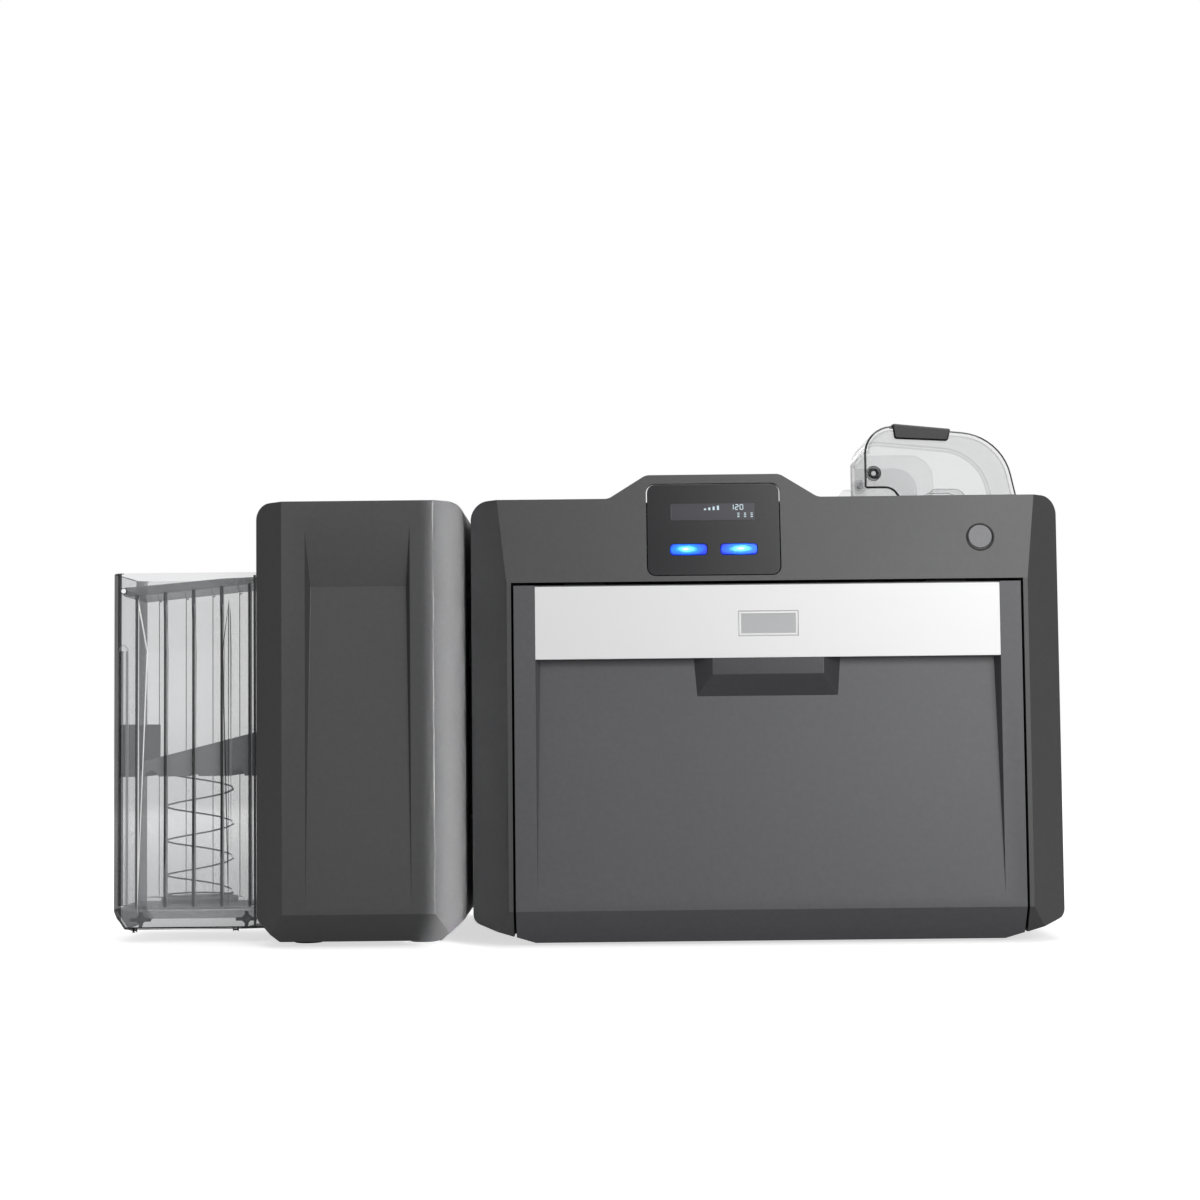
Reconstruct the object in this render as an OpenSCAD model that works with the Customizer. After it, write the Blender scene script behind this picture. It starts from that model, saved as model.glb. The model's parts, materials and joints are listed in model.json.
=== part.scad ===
// Card printer with a two-sided module, a clear card bin and a clear domed card feeder.
// Origin: middle of the footprint, on the table. +X to the right seen from the front, front at -Y.

/* [Printer] */
// Depth of the whole machine
depth = 244; // [236:1:260]
// Height of the feet below the printer
foot_h = 1.8; // [1.6:0.1:3]
// Width of the printer
main_w = 358; // [352:1:370]
// Height of the printer's casing above the feet
main_h = 266.7; // [264.2:0.1:274]
// Wall thickness of the casings
wall = 3; // [2.4:0.1:3.6]
// Width of the slanted edge beside the door
bevel = 22.5; // [18:0.5:24]
// Radius of the casing's top corners
corner_r = 11; // [6:0.5:14]
// How far the slope at the foot of each side reaches in past the door's sides
chamfer_in = 11.3; // [8:0.1:15]
// Height of the slope at the foot of each side
chamfer_h = 12.2; // [8:0.2:16]
// Depth of the front frame from the door's face
frame_d = 30; // [28:0.5:34]
// How far the header leans back at the top
lean = 5.8; // [3:0.1:8]

/* [Door] */
// Width of the door
door_w = 304.6; // [300:0.2:308]
// Gap round the door
door_gap = 1.5; // [1:0.1:2.5]
// Height of the header, from the door's top edge to the casing's top
header_h = 52.5; // [50.5:0.5:56.5]
// Height of the slanted strip along the foot of the front
facet_h = 19.7; // [16:0.1:22]
// How far that strip runs back
facet_d = 14; // [10:0.5:15]
// Depth of the door's edges
door_d = 16; // [15:0.5:18]
// Distance from the bright strip's ends to the door's sides
trim_side = 12.8; // [8:0.2:17]
// Height of the bright strip
trim_h = 43.7; // [40:0.1:50]
// Thickness of the bright strip
trim_t = 2; // [1:0.1:2.5]
// Depth of the hollow panel just below the bright strip
panel_d = 9; // [6:0.5:9.5]
// Width of the door's pull
pull_w = 88.6; // [70:0.2:110]
// Height of the door's pull
pull_h = 23; // [18:0.5:28]
// Width of the pull's slanted edges
pull_edge = 11; // [8:0.5:12]
// Diameter of the door's hinge pins
door_pin_d = 5; // [4:0.5:6]

/* [Display] */
// Width of the display panel
disp_w = 79.7; // [76:0.1:84]
// Height of the display panel
disp_h = 55.6; // [52:0.1:57]
// How far the display lies left of the printer's middle
disp_shift = 31.5; // [28:0.5:34]
// Height of the hump above the casing
hump_h = 14.3; // [12:0.1:16]
// Width of the hump's top
hump_w = 81; // [80:0.5:88]
// Width of the slope on each side of the hump
hump_foot = 22.8; // [18:0.2:26]
// Width of each soft key
key_w = 22; // [18:0.5:24]
// Height of each soft key
key_h = 6.6; // [5:0.1:8]
// Travel of each soft key
key_travel = 0.8; // [0.5:0.1:1]
// Distance between the middles of the soft keys
key_pitch = 30.3; // [28:0.1:34]
// Diameter of the power button
button_d = 14.4; // [10:0.2:16]
// Travel of the power button
button_travel = 1.2; // [0.8:0.1:1.4]

/* [Two-sided module] */
// Height of the feet below the module
mid_foot = 3.4; // [2.6:0.1:5]
// How far the module's top lies above the printer's
mid_rise = 0.5; // [0:0.1:2]
// Width of the module
mid_w = 127.5; // [124:0.5:134]
// Gap between the module and the printer
mod_gap = 4; // [3:0.5:6]
// How far the module's face lies behind the door's face
mid_set = 6; // [4:0.5:10]
// Depth of the module's casing behind its cover
mid_case_d = 196; // [180:1:200]
// Depth of the module's front cover
mid_cover_d = 30; // [26:0.5:34]
// Width of the slanted edges of the module's cover
mid_bevel = 17.8; // [14:0.2:20]
// Width of the tapered hollow in the cover
mid_panel_w = 63.5; // [50:0.5:70]
// Depth of that hollow
mid_panel_d = 6; // [4:0.5:7]
// Thickness of the module's lid above its casing
lid_rise = 1.3; // [1:0.1:2]

/* [Card path] */
// Length of a card
card_l = 85.6; // [85:0.1:86]
// Width of a card
card_w = 54; // [53.5:0.1:54.5]
// Depth of the card path below the casing's top
card_drop = 49.5; // [48.5:0.5:50.5]
// Middle of the card path, from the middle of the depth
card_y = -23; // [-25:0.5:-21]
// Diameter of the card rollers
roller_d = 16; // [14:0.5:17]
// Gap between the rollers of a pair
card_gap = 1.2; // [1:0.1:1.6]
// Diameter of the roller shafts
shaft_d = 6; // [5:0.5:7]

/* [Card bin] */
// Width of the card bin
bin_w = 96; // [95:0.5:100]
// Height of the card bin's underside above the table
bin_rise = 7.9; // [6:0.1:10]
// Height of the card bin
bin_h = 222.4; // [217:0.2:226]
// Radius of the card bin's upright corners
bin_r = 7; // [4:0.5:9]
// Depth of the card bin
bin_d = 78; // [74:0.5:82]
// Wall of the clear parts
clear_t = 2.2; // [1.8:0.1:2.6]
// Number of ribs on the bin's walls
bin_ribs = 5; // [3:1:7]
// Diameter of the spring, at the middle of its wire
spring_d = 42.6; // [36:0.2:46]
// Thickness of the spring's wire
wire_d = 1.2; // [0.8:0.1:1.4]
// Turns of the spring
turns = 5.5; // [4.5:0.5:7]
// How far the platform can be pressed down
lift = 56; // [40:1:58]

/* [Card feeder] */
// Width of the clear dome
dome_w = 95.5; // [94:0.5:98]
// Height of the dome above the casing
dome_h = 51.9; // [48:0.1:54]
// Depth of the dome
dome_d = 78; // [74:0.5:82]
// Distance from the dome to the printer's right side
dome_side = 16.3; // [14.5:0.1:20]
// Diameter of the dome's hinge pin
dome_pin_d = 3; // [2.5:0.1:3.5]

/* [Ribbons] */
// Diameter of the dye ribbon's full spool
ribbon_full = 52; // [40:1:56]
// Diameter of the dye ribbon's winding spool
ribbon_part = 30; // [24:1:50]
// Diameter of the transfer film's full spool
film_full = 56; // [40:1:58]
// Diameter of the transfer film's winding spool
film_part = 32; // [24:1:50]
// Width of the ribbons
web_w = 60; // [58:0.5:62]
// Thickness of the ribbons
web_t = 0.4; // [0.3:0.1:0.5]

/* [Drive] */
// Module of the gears
gear_m = 1; // [0.9:0.05:1.1]
// Teeth of the motor's gear
motor_teeth = 15; // [13:1:18]
// Teeth of the roller's gear
roller_teeth = 40; // [36:1:44]

/* [Hidden] */

clear = 0.3;            // between pieces that lie beside each other
fit = 0.05;             // between a turning shaft and its bore, all round
face_seg = 10;          // straight pieces in a rounded corner

// Places along X, from the left side of the bin to the right side of the printer
total_w = main_w + mod_gap + mid_w + bin_w;
main_x1 = total_w / 2;
main_x0 = main_x1 - main_w;
main_cx = (main_x0 + main_x1) / 2;
mid_x1 = main_x0 - mod_gap;
mid_x0 = mid_x1 - mid_w;
mid_cx = (mid_x0 + mid_x1) / 2;
bin_x0 = mid_x0 - bin_w;
bin_cx = (bin_x0 + mid_x0) / 2;

// Places along Y
front = -depth / 2;
back = depth / 2;
frame_y = front + frame_d;
mid_front = front + mid_set;
mid_split = mid_front + mid_cover_d;
mid_back = mid_split + mid_case_d;
bin_y0 = card_y - bin_d / 2;
bin_y1 = card_y + bin_d / 2;
chassis_t = 2;
chassis_y = card_y + web_w / 2 + 15;

// Heights
chamfer_w = (main_w - door_w) / 2 + chamfer_in;
main_top = foot_h + main_h;
door_top = main_top - header_h;
card_z = main_top - card_drop;
header_z = door_top + door_gap + clear;
hump_z = main_top + hump_h;
lean_a = atan(lean / (main_top - header_z));
bin_top = bin_rise + bin_h;
mid_top = main_top + mid_rise;

// ---------- plane outlines ----------
function unit(a, b) = (b - a) / norm(b - a);
// Corners of a closed outline, drawn anticlockwise, moved inward by d
function inset(p, d) = let (n = len(p)) [for (i = [0:n - 1])
    let (u = unit(p[(i + n - 1) % n], p[i]), v = unit(p[i], p[(i + 1) % n]))
    p[i] + d / (1 + u * v) * [-u.y - v.y, u.x + v.x]];
// The same outline with corner i rounded to radius r[i]
function rounded(p, r) = let (n = len(p)) [for (i = [0:n - 1])
    let (u = unit(p[(i + n - 1) % n], p[i]), v = unit(p[i], p[(i + 1) % n]),
        turn = acos(max(-1, min(1, u * v))), side = sign(u.x * v.y - u.y * v.x))
    each r[i] < 0.05 ? [p[i]]
        : let (c = p[i] + (v - u) / norm(v - u) * r[i] / cos(turn / 2), s = p[i] - u * r[i] * tan(turn / 2) - c)
        [for (k = [0:face_seg]) let (a = side * turn * k / face_seg)
            c + [s.x * cos(a) - s.y * sin(a), s.x * sin(a) + s.y * cos(a)]]];
function box_outline(x0, x1, z0, z1) = [[x0, z0], [x1, z0], [x1, z1], [x0, z1]];

// Solids from an outline in the front view, the side view or the plan
module front_solid(p, y0, y1) {
    translate([0, y1, 0]) rotate([90, 0, 0]) linear_extrude(y1 - y0) polygon(p);
}
module side_solid(p, x0, x1) {
    translate([x0, 0, 0]) rotate([90, 0, 90]) linear_extrude(x1 - x0) polygon(p);
}
module plan_solid(p, z0, z1) {
    translate([0, 0, z0]) linear_extrude(z1 - z0) polygon(p);
}
module block(x0, x1, y0, y1, z0, z1) {
    translate([x0, y0, z0]) cube([x1 - x0, y1 - y0, z1 - z0]);
}
module rod_y(x, z, d, y0, y1) {
    translate([x, y1, z]) rotate([90, 0, 0]) cylinder(d = d, h = y1 - y0, $fn = 48);
}
module rod_x(y, z, d, x0, x1) {
    translate([x0, y, z]) rotate([0, 90, 0]) cylinder(d = d, h = x1 - x0, $fn = 48);
}
module rod_z(x, y, d, z0, z1) {
    translate([x, y, z0]) cylinder(d = d, h = z1 - z0, $fn = 48);
}
// Block with rounded corners in the front view
module tile(x0, x1, y0, y1, z0, z1, r) {
    front_solid(rounded(box_outline(x0, x1, z0, z1), [r, r, r, r]), y0, y1);
}

// Path of a band round circles given as [x, z, radius]; it keeps each circle on its left
function tangent_a(a, b) = let (d = [b.x - a.x, b.y - a.y])
    atan2(d.y, d.x) - asin((b[2] - a[2]) / norm(d));
function arc_pts(c, a0, a1, n) = [for (k = [0:n]) let (a = a0 + (a1 - a0) * k / n)
    [c.x + c[2] * cos(a), c.y + c[2] * sin(a)]];
function ccw(a0, a1) = a1 + 360 * ceil((a0 - a1) / 360);
// Open band from the first circle to the last
function band_path(c) = let (n = len(c), t = [for (i = [0:n - 2]) tangent_a(c[i], c[i + 1]) - 90]) [
    arc_pts(c[0], t[0], t[0], 1)[0],
    for (i = [1:n - 2]) each arc_pts(c[i], t[i - 1], ccw(t[i - 1], t[i]), 12),
    arc_pts(c[n - 1], t[n - 2], t[n - 2], 1)[0]];
// Closed band
function loop_path(c) = let (n = len(c), t = [for (i = [0:n - 1]) tangent_a(c[i], c[(i + 1) % n]) - 90])
    [for (i = [0:n - 1]) each arc_pts(c[i], t[(i + n - 1) % n], ccw(t[(i + n - 1) % n], t[i]), 12)];
function grown(c, d) = [for (k = c) [k.x, k.y, k[2] + d]];
function flipped(p) = [for (i = [len(p) - 1:-1:0]) p[i]];

// ---------- printer casing ----------
disp_cx = main_cx - disp_shift;
main_box = [[main_x0 + chamfer_w, foot_h], [main_x1 - chamfer_w, foot_h], [main_x1, foot_h + chamfer_h],
    [main_x1, main_top], [main_x0, main_top], [main_x0, foot_h + chamfer_h]];
main_r = [0, 0, 6, corner_r, corner_r, 6];
frame_box = [main_box[0], main_box[1], main_box[2], main_box[3],
    [disp_cx + hump_w / 2 + hump_foot, main_top], [disp_cx + hump_w / 2, hump_z],
    [disp_cx - hump_w / 2, hump_z], [disp_cx - hump_w / 2 - hump_foot, main_top],
    main_box[4], main_box[5]];
frame_r = [0, 0, 6, corner_r, 8, 8, 8, 8, corner_r, 6];
function thinner(r, t) = [for (k = r) k == 0 ? 0 : max(k - t, 0.6)];
function hollower(r, t) = [for (i = [0:len(r) - 1]) r[i] == 0 ? 0 : (i == 4 || i == 7) ? r[i] + t : max(r[i] - t, 0.6)];

// Front of the printer: slanted edges in plan, leaning header and foot strip seen from the side
module front_mass(t, y1) {
    k = t * (sqrt(2) - 1);
    edge = main_w / 2;
    intersection() {
        front_solid(t == 0 ? rounded(frame_box, frame_r) : rounded(inset(frame_box, t), hollower(frame_r, t)),
            front - 1, y1);
        plan_solid([[main_cx - edge + bevel + k, front + t], [main_cx + edge - bevel - k, front + t],
            [main_cx + edge - t, front + bevel + k], [main_cx + edge - t, y1 + 1],
            [main_cx - edge + t, y1 + 1], [main_cx - edge + t, front + bevel + k]], 0, hump_z + 1);
        side_solid(front_side(t, y1 + 2), main_x0, main_x1);
    }
}
function front_side(t, y1) = let (top = hump_z + 2, rise = top - header_z, f = atan(facet_d / facet_h)) [
    [front + t, foot_h + facet_h + t * tan(f / 2)], [front + facet_d + t / cos(f) - 2 * tan(f), foot_h - 2],
    [y1, foot_h - 2], [y1, top], [front + t / cos(lean_a) + rise * tan(lean_a), top],
    [front + t, header_z + t * tan(lean_a / 2)]];

door_open_w = door_w + 2 * door_gap;
// Frame of the header: x across, y into the face, z up the face
module on_header() {
    translate([0, front, header_z]) rotate([-lean_a, 0, 0]) children();
}
disp_u = 3.8;
disp_edge = 0.6;
disp_r = 4.8;
board_y = 14;
board_t = 1.6;
button_x = main_x1 - 50;
button_u = 25.6;
header_posts = [[disp_cx + 55, 40], [disp_cx - 47, 22], [button_x - 14, 12], [button_x - 14, 38]];
module front_frame() {
    color([0.3, 0.3, 0.31]) difference() {
        union() {
            difference() {
                front_mass(0, frame_y);
                front_mass(wall, frame_y + 1);
            }
            intersection() {
                front_mass(0, frame_y);
                difference() {
                    block(main_cx - door_open_w / 2 - wall, main_cx + door_open_w / 2 + wall, front, frame_y,
                        foot_h, header_z + wall);
                    door_space();
                }
            }
            on_header() for (p = header_posts)
                translate([p.x, board_y, p.y]) rotate([90, 0, 0]) cylinder(d = 6, h = board_y - 1, $fn = 32);
        }
        door_space();
        on_header() {
            tile(disp_cx - disp_w / 2 - disp_edge, disp_cx + disp_w / 2 + disp_edge, -4, wall + 1,
                disp_u - disp_edge, disp_u + disp_h + disp_edge, disp_r + disp_edge);
            rod_y(button_x, button_u, button_d + 2 * clear, -4, wall + 1);
        }
    }
}
module door_space() {
    block(main_cx - door_open_w / 2, main_cx + door_open_w / 2, front - 2, frame_y + 2, -1, header_z);
}

feed_x0 = main_x1 - dome_side - dome_w;
feed_x1 = main_x1 - dome_side;
well_t = clear_t;
well_in = [feed_x0 + 4.5, feed_x1 - 4.5];
well_y = [card_y - card_w / 2 - 2, card_y + card_w / 2 + 2];
fan_x = main_x0 + 62;
fan_z = 150;
fan_d = 60;
psu_x = main_x0 + chamfer_w + 4;
psu_w = 98;
rear_x = [psu_x + psu_w + 19, psu_x + psu_w + 149];
rear_z = [30, 78];
slot_h = 12;
slot_y = [card_y - card_w / 2 - 3, card_y + card_w / 2 + 3];
// Slot for the cards through the wall at x
module card_slot(x) {
    block(x - wall - 1, x + wall + 1, slot_y[0], slot_y[1], card_z - slot_h / 2, card_z + slot_h / 2);
}
module main_case() {
    color([0.28, 0.28, 0.29]) difference() {
        front_solid(rounded(main_box, main_r), frame_y, back);
        front_solid(rounded(inset(main_box, wall), thinner(main_r, wall)), frame_y - 1, back - wall);
        block(main_x0 + chamfer_w, main_x1 - chamfer_w, frame_y - 1, back - wall, 0, foot_h + wall + 1);
        block(well_in[0] - well_t - clear, well_in[1] + well_t + clear,
            well_y[0] - well_t - clear, well_y[1] + well_t + clear, main_top - wall - 1, main_top + 1);
        card_slot(main_x0);
        block(rear_x[0], rear_x[1], back - wall - 1, back + 1, rear_z[0], rear_z[1]);
        rod_y(fan_x, fan_z, fan_d, back - wall - 1, back + 1);
        for (i = [0:9]) side_vent(main_x1, 40 + 7 * i);
    }
}
module side_vent(x, y) {
    block(x - wall - 1, x + 1, y - 1.5, y + 1.5, 60, 110);
}

pan_z = foot_h;
pan_t = 2;
pan_y0 = front + door_d + 22;
module base_pan() {
    color([0.62, 0.63, 0.64]) union() {
        block(main_x0 + chamfer_w + clear, main_x1 - chamfer_w - clear, pan_y0, back - wall - clear, pan_z, pan_z + pan_t);
        for (s = [0, 1]) {
            x = s == 0 ? main_x0 + chamfer_w + clear : main_x1 - chamfer_w - clear - pan_t;
            block(x, x + pan_t, pan_y0, back - wall - clear, pan_z, pan_z + 14);
        }
        block(main_x0 + chamfer_w + clear, main_x1 - chamfer_w - clear, back - wall - clear - pan_t,
            back - wall - clear, pan_z, pan_z + 14);
    }
}

foot_d = 18;
foot_in = 24;
main_feet = [for (x = [main_x0 + chamfer_w + foot_in, main_x1 - chamfer_w - foot_in], y = [pan_y0 + 16, back - foot_in]) [x, y]];
mid_feet = [for (x = [mid_x0 + foot_in + 4, mid_x1 - foot_in - 4], y = [mid_split + 16, mid_back - foot_in]) [x, y]];
foot_edge = 0.6;
foot_dimple = 0.8;
module foot(p, h) {
    translate([p.x, p.y, 0]) difference() {
        rotate_extrude($fn = 48) polygon([[0, 0], [foot_d / 2 - foot_edge, 0], [foot_d / 2, foot_edge],
            [foot_d / 2 - foot_edge, h], [0, h]]);
        translate([0, 0, -1]) cylinder(d = 5, h = 1 + foot_dimple, $fn = 32);
    }
}
module feet() {
    color([0.1, 0.1, 0.1]) {
        for (p = main_feet) foot(p, foot_h);
        for (p = mid_feet) foot(p, mid_foot);
    }
}

// ---------- door ----------
door_x0 = main_cx - door_w / 2;
door_x1 = main_cx + door_w / 2;
pivot_y = front + 18;
pivot_z = foot_h + facet_h - 1.5;
trim_w = door_w - 2 * trim_side;
trim_top = door_top - 0.8;
trim_z = trim_top - trim_h;
panel_foot = foot_h + facet_h + 7.5;
door_wall = 3;
panel_back = panel_d + door_wall;
function door_side(t) = let (f = atan(facet_d / facet_h)) [
    [front + t, foot_h + facet_h + t * tan(f / 2)], [front + facet_d + t / cos(f) - tan(f), foot_h - 1],
    [front + door_d + 2 * t, foot_h - 1], [front + door_d + 2 * t, door_top - t], [front + t, door_top - t]];
// Tapered hollow in a face at y, deepest at height zt; its sides draw in by the slope draft
module tapered_hollow(x0, x1, y, side, draft, d) {
    zs = [for (p = side) p.y];
    intersection() {
        side_solid(side, x0 - 1, x1 + 1);
        plan_solid([[x0 - draft, y - 1], [x1 + draft, y - 1], [x1 - draft * d, y + d], [x0 + draft * d, y + d]],
            min(zs) - 1, max(zs) + 1);
    }
}
module front_door() {
    hollow = [[front - 2, panel_foot - 2 * (trim_z - panel_foot) / panel_d], [front + panel_d, trim_z], [front - 2, trim_z]];
    color([0.36, 0.36, 0.38]) difference() {
        union() {
            difference() {
                intersection() {
                    side_solid(door_side(0), door_x0, door_x1);
                    front_solid(rounded(main_box, [0, 0, 0, 0, 0, 0]), front - 1, front + door_d);
                }
                intersection() {
                    side_solid(door_side(door_wall), door_x0 + door_wall, door_x1 - door_wall);
                    front_solid(inset(main_box, door_wall), front - 1, front + door_d + 2);
                }
            }
            side_solid([[front + door_wall - 0.2, panel_foot], [front + panel_back, trim_z - 2],
                [front + panel_back, trim_z + door_wall], [front + door_wall - 0.2, trim_z + door_wall]],
                main_cx - trim_w / 2 - door_wall, main_cx + trim_w / 2 + door_wall);
            for (s = [-1, 1]) door_lug(s);
        }
        tapered_hollow(main_cx - trim_w / 2, main_cx + trim_w / 2, front, hollow, 0.3, panel_d);
        block(main_cx - trim_w / 2 - 0.1, main_cx + trim_w / 2 + 0.1, front - 1, front + trim_t, trim_z, trim_top + 2);
        for (s = [-1, 1]) rod_x(pivot_y, pivot_z, door_pin_d + 2 * fit, main_cx + s * lug_x - 5, main_cx + s * lug_x + 5);
    }
}
lug_x = door_w / 2 - chamfer_in - 9;
lug_w = 6;
lug_r = 5.5;
module door_lug(s) {
    x0 = main_cx + s * lug_x - lug_w / 2;
    intersection() {
        union() {
            rod_x(pivot_y, pivot_z, 2 * lug_r, x0, x0 + lug_w);
            block(x0, x0 + lug_w, front + 2, pivot_y, pivot_z - lug_r, pivot_z + lug_r);
        }
        side_solid(door_side(1), door_x0, door_x1);
    }
}
liner_y = front + door_d - 2;
liner_z = [pivot_z + 16, door_top - 6];
module door_liner() {
    x0 = door_x0 + door_wall + clear;
    x1 = door_x1 - door_wall - clear;
    color([0.2, 0.2, 0.21]) union() {
        tile(x0, x1, liner_y, liner_y + 2, liner_z[0], liner_z[1], 3);
        for (x = [x0 + 22, main_cx, x1 - 22]) block(x - 4, x + 4, front + panel_back, liner_y, liner_z[1] - 46, liner_z[1] - 22);
        for (x = [x0 + 1, x1 - 3]) block(x, x + 2, front + door_wall, liner_y, liner_z[0] + 10, liner_z[1] - 60);
    }
}
module silver_trim() {
    color([0.86, 0.87, 0.88])
        block(main_cx - trim_w / 2, main_cx + trim_w / 2, front, front + trim_t, trim_z, trim_top);
}
module door_handle() {
    z0 = trim_z - pull_h;
    slope = (trim_z - panel_foot) / panel_d;
    w = pull_w / 2;
    color([0.3, 0.3, 0.31]) intersection() {
        plan_solid([[main_cx - w, front + panel_d + 1], [main_cx - w, front + panel_d],
            [main_cx - w + pull_edge, front], [main_cx + w - pull_edge, front],
            [main_cx + w, front + panel_d], [main_cx + w, front + panel_d + 1]], z0, trim_z);
        side_solid([[front + panel_d - pull_h / slope, z0], [front + panel_d, trim_z], [front, trim_z],
            [front, z0 + pull_edge + 2]], main_cx - w, main_cx + w);
    }
}
module door_hinge_brackets() {
    color([0.6, 0.61, 0.62]) for (s = [-1, 1]) {
        x = main_cx + s * (lug_x - lug_w / 2 - clear - 1.5 - 1);
        difference() {
            union() {
                rod_x(pivot_y, pivot_z, 10, x - 1.5, x + 1.5);
                block(x - 1.5, x + 1.5, pivot_y, pan_y0 + 4, pivot_z - 1.2, pivot_z + 5);
                block(x - 1.5, x + 1.5, pan_y0 + 0.5, pan_y0 + 14, pan_z + pan_t, pivot_z + 5);
                block(x - 8, x + 8, pan_y0 + 2, pan_y0 + 14, pan_z + pan_t, pan_z + pan_t + 2);
            }
            rod_x(pivot_y, pivot_z, door_pin_d, x - 3, x + 3);
        }
    }
}
module door_hinge_pins() {
    color([0.75, 0.76, 0.77]) for (s = [-1, 1]) {
        a = main_cx + s * (lug_x - lug_w / 2 - clear - 4 - 1);
        b = main_cx + s * (lug_x + lug_w / 2 + 1);
        rod_x(pivot_y, pivot_z, door_pin_d, min(a, b), max(a, b));
    }
}
magnet_x = door_w / 2 - 42.3;
module door_magnets() {
    color([0.15, 0.15, 0.16]) for (s = [-1, 1]) {
        x = main_cx + s * magnet_x;
        difference() {
            block(x - 12, x + 12, front + door_d + clear, frame_y - 1, header_z - 10, header_z);
            block(x - 9, x + 9, front + door_d + clear - 1, front + door_d + clear + 0.8, header_z - 8, header_z - 3);
        }
    }
}

// ---------- display and controls ----------
key_u = 19.4;
key_r = 2;
module display_module() {
    color([0.1, 0.1, 0.11]) on_header() difference() {
        union() {
            tile(disp_cx - disp_w / 2, disp_cx + disp_w / 2, 0.4, wall + 0.5, disp_u, disp_u + disp_h, disp_r);
            tile(disp_cx - disp_w / 2 + 3, disp_cx + disp_w / 2 - 3, wall, board_y, disp_u + 3, disp_u + disp_h - 10, 2);
        }
        for (s = [-1, 1]) tile(disp_cx + s * key_pitch / 2 - key_w / 2 - clear, disp_cx + s * key_pitch / 2 + key_w / 2 + clear,
            -1, board_y + 1, key_u - key_h / 2 - clear, key_u + key_h / 2 + clear, key_r + clear);
    }
}
module soft_key(s) {
    x = disp_cx + s * key_pitch / 2;
    color([0.1, 0.35, 0.95]) on_header()
        tile(x - key_w / 2, x + key_w / 2, 0, board_y - key_travel - 0.4, key_u - key_h / 2, key_u + key_h / 2, key_r);
}
module left_key() { soft_key(-1); }
module right_key() { soft_key(1); }
module power_button() {
    color([0.4, 0.4, 0.41]) on_header() {
        rod_y(button_x, button_u, button_d, -0.2, wall + 1);
        rod_y(button_x, button_u, button_d + 3, wall + clear, wall + 2);
        rod_y(button_x, button_u, 5, wall + 1, board_y - 2 - button_travel);
    }
}
module control_board() {
    color([0.05, 0.3, 0.15]) on_header() difference() {
        union() {
            block(disp_cx - disp_w / 2 - 14, button_x + 12, board_y, board_y + board_t, disp_u + 2, disp_u + 40);
            block(button_x - 3, button_x + 3, board_y - 1.8, board_y, button_u - 3, button_u + 3);
        }
        for (p = header_posts) rod_y(p.x, p.y, 2.5, board_y - 1, board_y + 3);
    }
}

// ---------- card feeder ----------
dome_y = [card_y - dome_d / 2, card_y + dome_d / 2];
rim_h = 4;
rim_z = main_top + clear;
dome_z = main_top + dome_h;
hinge_x = feed_x0 + 5.6;
hinge_z = main_top + 20;
hinge_boss_d = 7.2;
hinge_boss_t = 0.8;
seam_z = hinge_z + 13.6;
dome_foot = rim_z + rim_h + clear;
dome_fall = 8.7;        // of the dome's top, from its left to its right
dome_in = 8.5;          // how far its right side leans in
dome_box = [[feed_x0, dome_foot], [feed_x1, dome_foot], [feed_x1 - dome_in, dome_z - dome_fall],
    [feed_x0, dome_z]];
dome_r = [0, 0, 34.7, 17.6];
notch_z = dome_foot + 6;
notch_w = 24;
notch = [[feed_x0 - 1, rim_z], [feed_x0 + notch_w, rim_z], [feed_x0 + notch_w - 7, notch_z],
    [feed_x0 - 1, notch_z]];
module feeder_cover() {
    over = 9;
    spread = over * dome_in / (dome_box[2].y - dome_box[1].y);
    inner = [dome_box[0] - [0, over], dome_box[1] + [spread, -over], dome_box[2], dome_box[3]];
    color([0.85, 0.86, 0.88, 0.4]) difference() {
        union() {
            front_solid(rounded(dome_box, dome_r), dome_y[0], dome_y[1]);
            rod_y(hinge_x, hinge_z, hinge_boss_d, dome_y[0] - hinge_boss_t, dome_y[1] + hinge_boss_t);
        }
        front_solid(rounded(inset(inner, clear_t), thinner(dome_r, clear_t)),
            dome_y[0] + clear_t, dome_y[1] - clear_t);
        front_solid(rounded(notch, [0, 0, 8, 0]), dome_y[0] - 1, dome_y[1] + 1);
        block(feed_x0 - 1, feed_x0 + clear_t + 4, dome_y[0] + clear_t, dome_y[1] - clear_t, 0, seam_z);
        rod_y(hinge_x, hinge_z, dome_pin_d + 2 * fit, dome_y[0] - 1, dome_y[1] + 1);
    }
}
grip_x = [feed_x0 + 17.6, feed_x0 + 54.1];
grip_d = 14;
grip_out = 3;           // in front of the dome
grip_t = 1;             // above the dome
function dome_top(x) = dome_z - dome_fall * (x - dome_box[3].x) / (dome_box[2].x - dome_box[3].x);
module cover_grip() {
    z = [dome_top(grip_x[0]), dome_top(grip_x[1])];
    color([0.25, 0.25, 0.26]) difference() {
        front_solid(rounded([[grip_x[0] + 1.2, z[0] - 8.6], [grip_x[1] - 1.6, z[1] - 6.7],
            [grip_x[1], z[1] + grip_t], [grip_x[0], z[0] + grip_t]], [2, 2, 1, 1]),
            dome_y[0] - grip_out, dome_y[0] + grip_d);
        front_solid(rounded(dome_box, dome_r), dome_y[0], dome_y[1]);
    }
}
ear_w = 43.4;
ear_z = hinge_z + 11.5;
stop_x = [feed_x0 - 12, feed_x0 - 2.5];     // the open cover lies on this stop
stop_h = 13.5;
stop_d = 10;
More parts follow.
